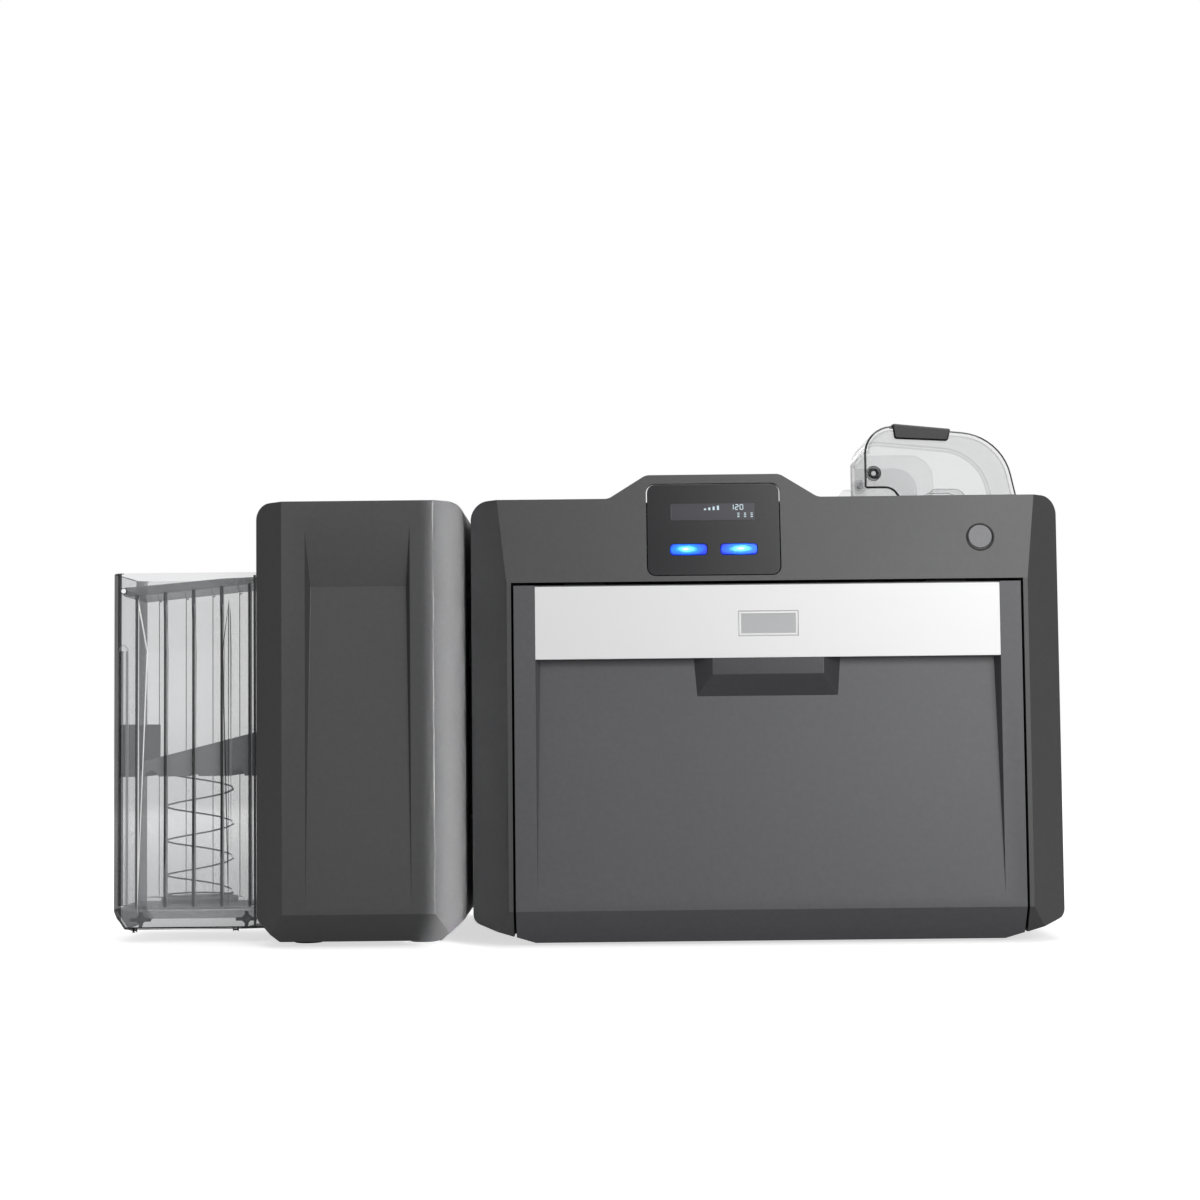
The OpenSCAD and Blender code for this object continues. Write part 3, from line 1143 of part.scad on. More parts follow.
// Notches in the platform's underside: place from the bin's left side, diameter, height of the middle
platform_notches = [[22.75, 9, -0.6], [49.75, 5.6, -0.4], [76.75, 9, 0.4]];
module card_platform() {
    y0 = rib_y[0] + 0.6;
    y1 = rib_y[1] - 0.6;
    x0 = bin_x0 + clear_t + 0.6;
    x1 = mid_x0 - clear_t - 0.8;
    color([0.45, 0.45, 0.46]) difference() {
        front_solid([[x0, platform_z], [x1, platform_z], [x1, platform_z + 28.4],
            [bin_x0 + 17.35, platform_z + 9.6], [bin_x0 + 17.35, platform_z + 4], [bin_x0 + 15.75, platform_z + 4],
            [bin_x0 + 15.75, platform_z + 32.9], [x0, platform_z + 32.9]], y0, y1);
        rod_z(bin_cx, card_y, spring_d + wire_d + 4, platform_z - 1, platform_z + 4);
        for (n = platform_notches) rod_y(bin_x0 + n.x, platform_z + n.z, n.y, y0 - 1, y1 + 1);
    }
}
seat_h = 3;
module spring_seat() {
    color([0.7, 0.71, 0.74, 0.6]) translate([bin_cx, card_y, bin_floor]) difference() {
        cylinder(d = spring_d + 6, h = seat_h, $fn = 64);
        translate([0, 0, 1.2]) cylinder(d = spring_d - 8, h = seat_h, $fn = 64);
    }
}
// The spring is one tube; its end turns lie close together and the rest are spread evenly
spring_z0 = bin_floor + seat_h + wire_d / 2 + 0.05;
spring_z1 = platform_z + 4 - wire_d / 2 - 0.05;
dead = 1;
dead_pitch = wire_d + 0.55;
live_pitch = (spring_z1 - spring_z0 - 2 * dead * dead_pitch) / (turns - 2 * dead);
spring_rings = 12;
function spring_rise(t) = dead_pitch * min(t, dead) + live_pitch * max(0, min(t, turns - dead) - dead)
    + dead_pitch * max(0, t - turns + dead);
function spring_pt(i) = let (t = i / spring_rings, a = 360 * t)
    [bin_cx + spring_d / 2 * cos(a), card_y + spring_d / 2 * sin(a), spring_z0 + spring_rise(t)];
spring_n = round(turns * spring_rings);
function ring(i) = let (p = spring_pt(i), a = 360 * i / spring_rings, o = [cos(a), sin(a), 0])
    [for (k = [0:5]) p + wire_d / 2 * (cos(60 * k) * o + [0, 0, sin(60 * k)])];
gap_min = min([for (i = [0:spring_n - spring_rings]) norm(spring_pt(i) - spring_pt(i + spring_rings))]) - wire_d;
module platform_spring() {
    n = spring_n;
    echo(spring_gap = gap_min);
    color([0.55, 0.55, 0.57]) polyhedron([for (i = [0:n]) each ring(i)], concat(
        [[0, 1, 2], [0, 2, 3], [0, 3, 4], [0, 4, 5]],
        [for (i = [0:n - 1], k = [0:5]) each let (a = 6 * i + k, b = 6 * i + (k + 1) % 6) [[a, a + 6, b], [b, a + 6, b + 6]]],
        [for (j = [4:-1:1]) [6 * n, 6 * n + j + 1, 6 * n + j]]));
}

front_frame();
main_case();
base_pan();
feet();
front_door();
door_liner();
silver_trim();
door_handle();
door_hinge_brackets();
door_hinge_pins();
door_magnets();
display_module();
control_board();
left_key();
right_key();
power_button();
feeder_base();
feeder_cover();
cover_grip();
cover_hinge_pin();
card_weight();
feed_roller();
chassis_plate();
cartridge_shelf();
ribbon_tray();
ribbon_supply_spool();
ribbon_takeup_spool();
ribbon_web();
film_tray();
film_supply_spool();
film_takeup_spool();
film_web();
print_head();
platen_roller();
transfer_roller();
card_roller_left();
card_roller_right();
pinch_rollers();
drive_belt();
drive_motor();
motor_pinion();
main_board();
power_supply();
fan_frame();
fan_rotor();
rear_panel();
power_switch();
module_cover();
module_case();
module_lid();
lid_hinge_pin();
flip_table();
flip_mount();
module_link();
card_bin();
bin_deflector();
deflector_pin();
card_platform();
platform_spring();
spring_seat();
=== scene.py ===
# %% [markdown]
# # Finishing a card printer
# The construction is already done: every casing, roller and hinge is in the frame at its real size.
# This lesson gives each piece its finish, adds the small things that show, and sets up the studio.

# %% Load the frame
import json
import math

import bpy
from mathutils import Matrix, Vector


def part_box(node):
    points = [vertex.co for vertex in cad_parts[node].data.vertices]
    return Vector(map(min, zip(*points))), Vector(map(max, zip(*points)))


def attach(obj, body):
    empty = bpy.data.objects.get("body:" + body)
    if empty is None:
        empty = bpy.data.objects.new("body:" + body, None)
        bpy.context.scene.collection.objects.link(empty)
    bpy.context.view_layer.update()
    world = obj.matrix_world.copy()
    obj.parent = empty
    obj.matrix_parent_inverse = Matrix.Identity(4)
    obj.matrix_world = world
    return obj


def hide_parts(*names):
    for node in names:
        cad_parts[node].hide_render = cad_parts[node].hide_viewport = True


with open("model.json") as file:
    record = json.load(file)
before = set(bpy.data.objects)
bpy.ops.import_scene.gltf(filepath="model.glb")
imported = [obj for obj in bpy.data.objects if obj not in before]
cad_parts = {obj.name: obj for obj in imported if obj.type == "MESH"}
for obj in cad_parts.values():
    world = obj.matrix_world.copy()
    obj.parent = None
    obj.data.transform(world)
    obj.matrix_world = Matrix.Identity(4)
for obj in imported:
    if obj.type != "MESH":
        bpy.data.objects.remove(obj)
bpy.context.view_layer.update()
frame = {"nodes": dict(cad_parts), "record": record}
body_of = {n: b for b, names in frame["record"]["behaviour"]["bodies"].items() for n in names}
slot_of = {s["node"]: s["material_slot"] for s in frame["record"]["subparts"]}
MM = 0.001

# %% [markdown]
# ## Camera
# The photograph looks straight at the door from a little above the table, with a normal lens. A point of
# the object that is X mm across lies at pixel 600 + (X - camera X) * focal / distance in a frame of 1200.
# The picture is turned by half a degree, which a roll of the camera gives.

# %% Camera
PHOTO = 1200
FOCAL_PX = 2170
DISTANCE = 1.300
CAMERA_X = 0.0126
CAMERA_Z = 0.132
PITCH = math.radians(3.3)
ROLL = math.radians(0.6)
SENSOR = 36.0
front_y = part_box("front_door")[0].y
camera_data = bpy.data.cameras.new("camera")
camera_data.sensor_width = SENSOR
camera_data.lens = SENSOR * FOCAL_PX / PHOTO
camera = bpy.data.objects.new("camera", camera_data)
bpy.context.scene.collection.objects.link(camera)
camera.location = (CAMERA_X, front_y - DISTANCE, CAMERA_Z)
camera.rotation_mode = "XYZ"
camera.rotation_euler = (math.radians(90) + PITCH, ROLL, 0)
bpy.context.scene.camera = camera
print("camera", [round(v, 3) for v in camera.location], "lens", round(camera_data.lens, 1))

# %% [markdown]
# ## Shader sums
# A finish is a small graph. Written as sums and products it reads like a formula, so one class wraps a
# socket and turns + - * and ** into Math nodes, and one method makes any other node. The studio's floor and
# its world are made with the same two classes.

# %% Shader sums
class Wave:
    """A socket of a graph; arithmetic on it adds Math nodes."""

    def __init__(self, graph, socket):
        self.graph, self.socket = graph, socket

    def math(self, operation, first, second):
        return self.graph.node("Math", {0: first, 1: second}, operation=operation)

    def __add__(self, other): return self.math("ADD", self, other)
    def __radd__(self, other): return self.math("ADD", other, self)
    def __sub__(self, other): return self.math("SUBTRACT", self, other)
    def __rsub__(self, other): return self.math("SUBTRACT", other, self)
    def __mul__(self, other): return self.math("MULTIPLY", self, other)
    def __rmul__(self, other): return self.math("MULTIPLY", other, self)
    def __pow__(self, other): return self.math("POWER", self, other)


class Graph:
    """A node tree built node by node."""

    def __init__(self, tree):
        self.tree = tree

    def plug(self, socket, value):
        if isinstance(value, Wave):
            self.tree.links.new(value.socket, socket)
        elif isinstance(value, (tuple, list)) and len(value) == 3 and socket.type == "RGBA":
            socket.default_value = (*value, 1)
        else:
            socket.default_value = value

    def node(self, kind, inputs=None, out=0, stops=None, **settings):
        node = self.tree.nodes.new("ShaderNode" + kind)
        for key, value in settings.items():
            setattr(node, key, value)
        if stops:
            ramp = node.color_ramp
            while len(ramp.elements) < len(stops):
                ramp.elements.new(0.5)
            for element, (place, colour) in zip(ramp.elements, stops):
                element.position = place
                element.color = (*colour, 1)
        for key, value in (inputs or {}).items():
            self.plug(node.inputs[key], value)
        return Wave(self, node.outputs[out])


class Finish(Graph):
    """A material: its graph, its shader and the point that is shaded."""

    def __init__(self, name):
        self.material = bpy.data.materials.new(name)
        self.material.use_nodes = True
        super().__init__(self.material.node_tree)
        self.shader = self.tree.nodes["Principled BSDF"]
        self.place = self.node("TexCoord", out="Object")

    def noise(self, per_mm, detail=2.0, rough=0.5, at=None):
        """Noise with about per_mm spots to a millimetre."""
        return self.node("TexNoise", {"Vector": at or self.place, "Scale": per_mm / MM, "Detail": detail,
                                      "Roughness": rough}, out="Fac")

    def blend(self, fac, first, second):
        node = self.tree.nodes.new("ShaderNodeMix")
        node.data_type = "RGBA"
        self.plug(node.inputs["Factor"], fac)
        self.plug(node.inputs[6], first)
        self.plug(node.inputs[7], second)
        return Wave(self, node.outputs[2])

    def bump(self, height, strength, distance_mm):
        return self.node("Bump", {"Height": height, "Strength": strength, "Distance": distance_mm * MM},
                         out="Normal")

    def set(self, **sockets):
        for key, value in sockets.items():
            self.plug(self.shader.inputs[key.replace("_", " ")], value)

    def fix(self, socket, value):
        """A value that doesn't change over the surface."""
        self.shader.inputs[socket].default_value = value


def srgb(*values):
    """Colours read off as 0 to 255 become the linear values that shaders want."""
    return tuple(((v / 255 + 0.055) / 1.055) ** 2.4 if v > 10 else v / 255 / 12.92 for v in values)


# %% [markdown]
# ## Plastics
# The casings are moulded with a fine spark-eroded grain: about two grains to a millimetre, some hundredths
# of a millimetre deep, which breaks the highlight up. The door is smoother and a shade lighter. Broad, faint
# clouds stand for the flow of the plastic in the mould and for the marks of hands.

# %% Plastics
def grained_plastic(name, colour, rough=0.46, grain=0.4, per_mm=1.6):
    f = Finish(name)
    fine = f.noise(per_mm, 3.0, 0.6)
    cloud = f.noise(0.35, 2.0)
    broad = f.noise(0.012, 2.0)
    spots = fine * 0.3 + cloud * 0.5 + broad * 0.2
    f.set(Base_Color=f.blend(spots, [c * 0.76 for c in colour], [c * 1.24 for c in colour]),
          Roughness=rough - 0.04 + broad * 0.08 + fine * 0.05, Normal=f.bump(fine, grain, 0.05))
    return f


casing = grained_plastic("casing_grey", srgb(64, 64, 65), rough=0.36)
door_face = grained_plastic("door_grey", srgb(78, 78, 81), rough=0.36, grain=0.06, per_mm=3.0)
mid_grey = grained_plastic("mid_grey", srgb(132, 132, 133), rough=0.42)
button_grey = grained_plastic("button_grey", srgb(112, 112, 114), rough=0.38, grain=0.1)
grip_grey = grained_plastic("grip_grey", srgb(52, 52, 53), rough=0.55)
# Painted shadow: a near-black finish for the ring that stands for the shade round the button.
painted_shadow_black = grained_plastic("painted_shadow_black", srgb(12, 12, 12), rough=0.6)
# The handle is darker than the door: partly its own grey, partly painted shade of the pull recess.
handle_grey_painted_shade = grained_plastic("handle_grey_painted_shade", srgb(58, 58, 61), rough=0.28, grain=0.05)
light_grey = grained_plastic("light_plastic", srgb(190, 191, 194), rough=0.42)
black_plastic = grained_plastic("black_plastic", srgb(28, 28, 29), rough=0.5)
print("plastics:", casing.material.name, door_face.material.name)

# %% [markdown]
# ## Clear plastic
# A clear moulding is nearly gone where it faces the eye. It darkens where the eye looks along it, and most of
# all at its edges, where the light leaves sideways. Layer Weight gives the first. The dark edges are painted
# shade: a dark finish of their own, which the bevel below puts on the narrow faces that it makes. The bin is
# made greyer and more solid towards its bottom, whose lower part looks greyer than its top in the photograph.

# %% Clear plastic
GREYING_TOP = 140 * MM
ACRYLIC_IOR = 1.49


def clear_plastic(name, colour, thin, thick, greying=0.0):
    f = Finish(name)
    grazing = f.node("LayerWeight", {"Blend": 0.35}, out="Facing")
    smear = f.noise(0.03, 2.0)
    scuff = f.noise(0.9, 4.0, 0.7)
    depth = f.node("SeparateXYZ", {"Vector": f.place}, out="Z")
    # Below 140 mm the wall grows more solid, and so greyer, towards the bottom.
    low = f.node("Math", {0: (GREYING_TOP - depth) * greying, 1: 0.0}, operation="MAXIMUM")
    f.set(Base_Color=f.blend(grazing, colour, [c * 0.8 for c in colour]),
          Roughness=0.07 + smear * 0.1 + scuff * 0.05,
          Alpha=thin + (grazing ** 2.2) * (thick - thin) + smear * 0.03 + low)
    f.fix("IOR", ACRYLIC_IOR)
    return f


bin_clear = clear_plastic("bin_clear", srgb(172, 175, 179), 0.14, 0.28, greying=1.0)
bin_foot = clear_plastic("bin_foot", srgb(56, 59, 63), 0.5, 0.82)
smoke_grey = clear_plastic("smoke_grey", srgb(62, 62, 64), 0.68, 0.74)
# Painted shade: a grey finish for the side edges of the dome.
grey_line_painted_shade = clear_plastic("grey_line_painted_shade", srgb(120, 122, 125), 0.3, 0.5)
# Painted highlight: a near-white finish for the slim faces that the lamps strike.
painted_glint = clear_plastic("painted_glint", srgb(250, 250, 250), 0.85, 0.9)
dome_clear = clear_plastic("dome_clear", srgb(176, 178, 180), 0.11, 0.2)
base_clear = clear_plastic("base_clear", srgb(160, 162, 165), 0.1, 0.3)
# Painted shade: dark finishes for the edge faces of clear pieces, the bin's outline and its rib roots.
edge_painted_shade = clear_plastic("edge_painted_shade", srgb(30, 31, 33), 0.82, 0.95)
black_painted_shade = clear_plastic("black_painted_shade", srgb(16, 16, 17), 0.96, 1.0)
print("clear:", bin_clear.material.name, edge_painted_shade.material.name)

# %% [markdown]
# ## Metals, rubber, film and board
# Sheet steel is zinc plated, with broad cloudy spangles. Ground shafts show fine rings round them. Rubber
# is dull, ribbon film is thin and glossy, and the circuit board shows its tracks under green lacquer.

# %% Metals, rubber, film and board
def sheet_metal(name, colour, rough, stretch=(1, 1, 1), per_mm=0.15):
    f = Finish(name)
    at = f.node("Mapping", {"Vector": f.place, "Scale": stretch})
    cloud = f.noise(per_mm, 4.0, 0.6, at)
    f.set(Base_Color=f.blend(cloud, [c * 0.82 for c in colour], colour),
          Roughness=rough - 0.06 + cloud * 0.14, Normal=f.bump(cloud, 0.08, 0.02))
    f.fix("Metallic", 1.0)
    return f


def rubber(name, colour):
    f = Finish(name)
    grit = f.noise(1.6, 3.0)
    f.set(Base_Color=f.blend(grit, [c * 0.7 for c in colour], colour), Roughness=0.7 + grit * 0.15,
          Normal=f.bump(grit, 0.2, 0.05))
    return f


def film(name, colour, alpha=1.0):
    f = Finish(name)
    wound = f.node("TexWave", {"Vector": f.place, "Scale": 900.0, "Distortion": 0.6}, bands_direction="Y")
    f.set(Base_Color=f.blend(wound, [c * 0.8 for c in colour], colour), Roughness=0.18 + wound * 0.12)
    f.fix("Alpha", alpha)
    return f


def circuit_board(name):
    f = Finish(name)
    tracks = f.node("TexBrick", {"Vector": f.place, "Scale": 90.0, "Mortar Size": 0.03,
                                 "Color1": srgb(16, 92, 50), "Color2": srgb(12, 78, 42),
                                 "Mortar": srgb(60, 140, 80)}, out="Color")
    f.set(Base_Color=tracks, Roughness=0.3 + f.noise(0.1) * 0.1)
    return f


finishes = {
    "casing_grey": casing, "door_grey": door_face, "mid_grey": mid_grey, "light_plastic": light_grey,
    "black_plastic": black_plastic, "clear_smoke": bin_clear,
    "sheet_steel": sheet_metal("sheet_steel", srgb(200, 202, 204), 0.34),
    "shaft_steel": sheet_metal("shaft_steel", srgb(205, 205, 206), 0.22, (1, 12, 1), 0.4),
    "heatsink": sheet_metal("heatsink", srgb(208, 210, 213), 0.38, (1, 8, 1), 0.5),
    "pinion_brass": sheet_metal("pinion_brass", srgb(214, 180, 105), 0.3),
    "roller_rubber": rubber("roller_rubber", srgb(48, 48, 50)),
    "foot_rubber": rubber("foot_rubber", srgb(40, 40, 41)),
    "dye_ribbon": film("dye_ribbon", srgb(214, 178, 40)),
    "dye_dark": film("dye_dark", srgb(96, 26, 78)),
    "clear_film": film("clear_film", srgb(214, 218, 224), 0.7),
    "circuit_board": circuit_board("circuit_board"),
}
print("finishes so far:", len(finishes))

# %% [markdown]
# ## Silver paint, display and keys
# The strip across the door is painted with fine metal flake. The display is a black glossy panel. A key is a
# clear blue cap over a lamp that sits a little off its middle: nearly white over the lamp, deep blue at the
# ends. Distance from the lamp, read through a colour ramp, gives that.

# %% Silver paint, display and keys
def silver_paint(name, *light):
    f = Finish(name)
    flake = f.noise(4.0, 2.0)
    f.set(Base_Color=f.blend(flake, srgb(*[v - 12 for v in light]), srgb(*light)),
          Roughness=0.34 + flake * 0.1, Metallic=0.15 + flake * 0.1, Normal=f.bump(flake, 0.05, 0.02))
    return f


def gloss_black(name, low, high, rough):
    f = Finish(name)
    greying = f.noise(0.02, 1.0)
    f.set(Base_Color=f.blend(greying, srgb(*low), srgb(*high)), Roughness=rough + greying * 0.05)
    f.fix("Specular IOR Level", 0.36)
    return f


LAMP_REACH = (0.75, 0.75, 2.2)
KEY_GLOW = [(0.0, (0.72, 1.0, 0.95)), (0.22, (0.12, 0.72, 1.0)), (0.5, (0.0, 0.16, 0.95)),
            (0.9, (0.0, 0.02, 0.42))]


def lit_key(name, lamp):
    f = Finish(name)
    far = f.node("VectorMath", {0: f.place, 1: lamp}, operation="SUBTRACT")
    far = f.node("VectorMath", {0: far, 1: LAMP_REACH}, operation="MULTIPLY")
    far = f.node("VectorMath", {0: far}, out="Value", operation="LENGTH")
    uneven = f.noise(0.35, 1.0) * 0.22 - 0.11
    glow = f.node("ValToRGB", {"Fac": far * 100.0 + uneven}, out="Color", stops=KEY_GLOW)
    f.set(Base_Color=glow, Roughness=0.2 + f.noise(0.6) * 0.1)
    f.set(Emission_Color=glow)
    f.fix("Emission Strength", 1.0)
    return f


header_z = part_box("front_door")[1].z + 0.0018
LEAN = math.atan(5.8 / 50.7)


def on_header(x_mm, up_mm, in_mm=0.0):
    """A point on the leaning header: across, up its face, and into it."""
    up, inward = up_mm * MM, in_mm * MM
    return Vector((x_mm * MM, front_y + inward * math.cos(LEAN) + up * math.sin(LEAN),
                   header_z + up * math.cos(LEAN) - inward * math.sin(LEAN)))


finishes["bright_strip"] = silver_paint("bright_strip", 228, 228, 228)
finishes["display_black"] = gloss_black("display_black", (18, 18, 21), (25, 25, 28), 0.24)
finishes["key_blue"] = lit_key("key_blue_left", on_header(65.8, 19.6))
right_key = lit_key("key_blue_right", on_header(98.5, 19.6))
print("finishes:", len(finishes))

# %% [markdown]
# ## Every node gets its finish
# The record names a slot for each node, so one loop dresses all of them. A few nodes that share a slot differ
# a little on the real machine, and they are named apart. The door handle's darker grey is partly its own
# plastic and partly painted shade of its pull recess.

# %% Dress the nodes
special = {"right_key": right_key, "power_button": button_grey, "cover_grip": grip_grey,
           "door_handle": handle_grey_painted_shade, "cover_hinge_pin": light_grey, "spring_seat": bin_foot,
           "bin_deflector": smoke_grey, "feeder_cover": dome_clear, "feeder_base": base_clear,
           "card_weight": base_clear}


def finish_of(node):
    return special.get(node) or finishes[slot_of[node]]


def dress(obj, *given):
    obj.data.materials.clear()
    for finish in given:
        obj.data.materials.append(finish.material)


for name, obj in frame["nodes"].items():
    dress(obj, finish_of(name))
print("dressed", len(frame["nodes"]), "nodes")

# %% [markdown]
# ## Soft moulded edges
# No moulded edge is sharp: each has a small radius, and it is that radius that draws a line of light round a
# casing. The construction's shape is copied, its loose triangles are joined into whole faces, and a bevel
# rounds the edges. The copy then stands for the node. On a clear piece the bevel's own faces take the dark
# edge finish, which is painted shade.

# %% Soft edges
def only(obj):
    """Leave edit mode and select this one object."""
    if bpy.context.mode != "OBJECT":
        bpy.ops.object.mode_set(mode="OBJECT")
    bpy.ops.object.select_all(action="DESELECT")
    obj.select_set(True)
    bpy.context.view_layer.objects.active = obj


def apply(obj, kind, **settings):
    """Add a modifier, set it and apply it."""
    only(obj)
    modifier = obj.modifiers.new(kind.lower(), kind)
    for key, value in settings.items():
        setattr(modifier, key, value)
    bpy.ops.object.modifier_apply(modifier=modifier.name)


def pick(obj, kind, test):
    """Select the faces or edges whose middle, in mm, passes the test, and stay in edit mode."""
    only(obj)
    mesh = obj.data
    for group in (mesh.vertices, mesh.edges, mesh.polygons):
        for item in group:
            item.select = False
    count = 0
    for item in (mesh.polygons if kind == "FACE" else mesh.edges):
        points = [mesh.vertices[v].co / MM for v in item.vertices]
        middle = sum(points, Vector()) / len(points)
        if test(middle, item if kind == "FACE" else points[1] - points[0]):
            item.select = True
            count += 1
    bpy.ops.object.mode_set(mode="EDIT")
    bpy.ops.mesh.select_mode(type=kind)
    return count


def crisp(obj, wide_mm=5.0):
    """A crease between two wide faces stays crisp; the narrow faces of a rounding run on smoothly."""
    mesh = obj.data
    sides = {}
    for face in mesh.polygons:
        for key in face.edge_keys:
            sides.setdefault(key, []).append(face)
    for edge in mesh.edges:
        faces = sides.get(tuple(sorted(edge.vertices)), [])
        length = (mesh.vertices[edge.vertices[0]].co - mesh.vertices[edge.vertices[1]].co).length
        if len(faces) == 2 and length > 0 and min(f.area for f in faces) / length > wide_mm * MM:
            if faces[0].normal.angle(faces[1].normal, 0) > math.radians(1.5):
                edge.use_edge_sharp = True
    apply(obj, "WEIGHTED_NORMAL", mode="FACE_AREA", weight=50, keep_sharp=True)


def soft_edges(node, radius_mm, segments=2, edges=(), angle=30, outline=None):
    obj = bpy.data.objects.new(node + "_moulded", frame["nodes"][node].data.copy())
    bpy.context.scene.collection.objects.link(obj)
    only(obj)
    bpy.ops.object.mode_set(mode="EDIT")
    bpy.ops.mesh.select_all(action="SELECT")
    bpy.ops.mesh.remove_doubles(threshold=1e-6)
    bpy.ops.mesh.dissolve_limited(angle_limit=math.radians(0.4))
    bpy.ops.object.mode_set(mode="OBJECT")
    dress(obj, finish_of(node), *edges)
    if outline:
        pick(obj, "EDGE", outline)
        bpy.ops.mesh.bevel(offset=1.5 * MM, segments=1, affect="EDGES", material=2)
    apply(obj, "BEVEL", width=radius_mm * MM, segments=segments, limit_method="ANGLE",
          angle_limit=math.radians(angle), use_clamp_overlap=not edges, material=1 if edges else -1)
    bpy.ops.object.shade_smooth_by_angle(angle=math.radians(35))
    crisp(obj)
    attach(obj, body_of[node])
    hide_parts(node)
    return obj


soft = {"front_frame": 0.5, "main_case": 0.5, "front_door": 0.4, "door_handle": 0.4,
        "module_cover": 0.5, "module_case": 0.4, "module_lid": 0.4, "display_module": 0.1,
        "left_key": 0.5, "right_key": 0.5, "power_button": 0.5, "bin_deflector": 0.6, "card_platform": 0.4}
for name, radius in soft.items():
    moulded = soft_edges(name, radius)
    print(moulded.name, len(moulded.data.polygons), "faces")

# %% [markdown]
# ## Painted shade on the edges of the clear pieces
# Light that enters a clear wall leaves at its edges, so an edge seen from the front looks dark. That dark is
# painted shade, a dark finish on the edge faces, and the thick bottom and left corner of the bin carry the
# darkest of it. Each face of a clear piece takes its finish by its place: wall, painted shade on an edge or
# the outline, the foot, which is darker towards the bottom, or a painted highlight, a white glint on the side
# that the lamps strike.

# %% Dark edges
def share_out(obj, finish_at):
    """Give each face the finish that finish_at(middle in mm, face, is it a long narrow face) names."""
    mesh = obj.data
    for face in mesh.polygons:
        corners = [mesh.vertices[v].co for v in face.vertices]
        longest = max((p - q).length for p, q in zip(corners, corners[1:] + corners[:1]))
        slim = longest > 12 * MM and face.area / longest < 1.3 * MM
        face.material_index = finish_at(face.center / MM, face, slim)
    return [sum(f.material_index == i for f in mesh.polygons) for i in range(len(mesh.materials))]


dome_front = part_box("feeder_cover")[0].y / MM
bin_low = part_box("card_bin")[0] / MM
BOSS_X = (-274.9, -209.6)
BOSS_Z = 14.4
BOSS_DEEP = 11
FLOOR_RISE = 15
WALL, EDGE, OUTLINE, FOOT, PAINTED_GLINT = range(5)


def bin_outline(m, d):
    front = m.y < bin_low.y + 1
    low = m.z < bin_low.z + 2 or (m.z < bin_low.z + 12 and m.x < bin_low.x + 9)
    return front and (low or m.x < bin_low.x + 1)


def near_boss(m):
    return any(abs(m.x - x) < 6.6 and abs(m.z - BOSS_Z) < 5.2 and m.y < bin_low.y + BOSS_DEEP
               for x in BOSS_X)


def bin_finish(m, face, slim):
    # Painted shade: the front outline, the small faces round the bosses and the slim edge faces take the dark
    # edge finishes.
    if face.material_index == OUTLINE or (face.area < 40 * MM * MM and near_boss(m)):
        return OUTLINE
    if m.z < bin_low.z + FLOOR_RISE and face.material_index == WALL:
        return FOOT
    # Painted highlight: slim faces near the front that face right take the white glint finish.
    if slim and face.normal.x > 0.3 and m.y < bin_low.y + 12:
        return PAINTED_GLINT
    if slim and face.normal.x > -0.2:
        return WALL
    return EDGE if slim or face.material_index == EDGE else WALL


def dome_finish(m, face, slim):
    """The rim of the dome's front is painted black and its other edges a lighter painted grey: painted shade
    along the dome's edges.
    """
    if face.material_index == 0:
        return 0
    return 1 if m.y < dome_front + 1.9 else 2


clear_bin = soft_edges("card_bin", 0.5, 1, (edge_painted_shade, black_painted_shade, bin_foot, painted_glint), outline=bin_outline)
print("card_bin", share_out(clear_bin, bin_finish), "faces by finish",
      [round(v / MM, 1) for v in clear_bin.dimensions])
dome = soft_edges("feeder_cover", 1.2, 1, (black_painted_shade, grey_line_painted_shade))
print("feeder_cover", share_out(dome, dome_finish), "faces by finish")
# The weight's bevel faces take the dark edge finish, which is painted shade.
soft_edges("card_weight", 0.4, 1, (edge_painted_shade,))
soft_edges("feeder_base", 0.3, 1)
# The grip's bevel faces are painted black: painted shade in its groove and along its edges.
soft_edges("cover_grip", 0.9, 1, (black_painted_shade,))

# %% [markdown]
# ## Tools for small pieces
# The small pieces start from a cube or a cylinder at its real size and are shaped in edit mode. Faces and
# edges are picked by a test on their middle, so a pick says in plain words which face is meant.

# %% Tools for small pieces
def start_cube(name, low, high):
    bpy.ops.object.select_all(action="DESELECT")
    middle = [(a + b) / 2 * MM for a, b in zip(low, high)]
    bpy.ops.mesh.primitive_cube_add(size=1, location=middle)
    obj = bpy.context.object
    obj.name = name
    obj.dimensions = [(b - a) * MM for a, b in zip(low, high)]
    bpy.ops.object.transform_apply(location=True, rotation=True, scale=True)
    return obj


def done(obj, body, slot, *given):
    """Set the place in the mesh, round the shading, and hand the piece to its body."""
    only(obj)
    bpy.ops.object.transform_apply(location=True, rotation=True, scale=True)
    bpy.ops.object.shade_smooth_by_angle(angle=math.radians(35))
    crisp(obj, 2.0)
    dress(obj, *given)
    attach(obj, body)
    return obj


print("tools ready: start_cube, done")

# %% [markdown]
# ## The bright strip and its bare badge
# The strip is a thin bar with a shallow sunk place for a badge. The place is cut out of the front face by
# four bisect planes, a narrow rim is inset, and the middle is pushed in. The badge stays bare.

# %% Bright strip
BADGE_X = (95.9, 132.4)
BADGE_Z = (184.1, 199.7)
# How far each inset goes in from the last, and how much deeper it then lies, in mm
BADGE_STEPS = ((0.3, 0.35), (0.35, 0.0), (0.15, -0.3), (0.9, 0.0), (0.3, 0.25))


def on_badge(m):
    return BADGE_X[0] < m.x < BADGE_X[1] and BADGE_Z[0] < m.z < BADGE_Z[1]


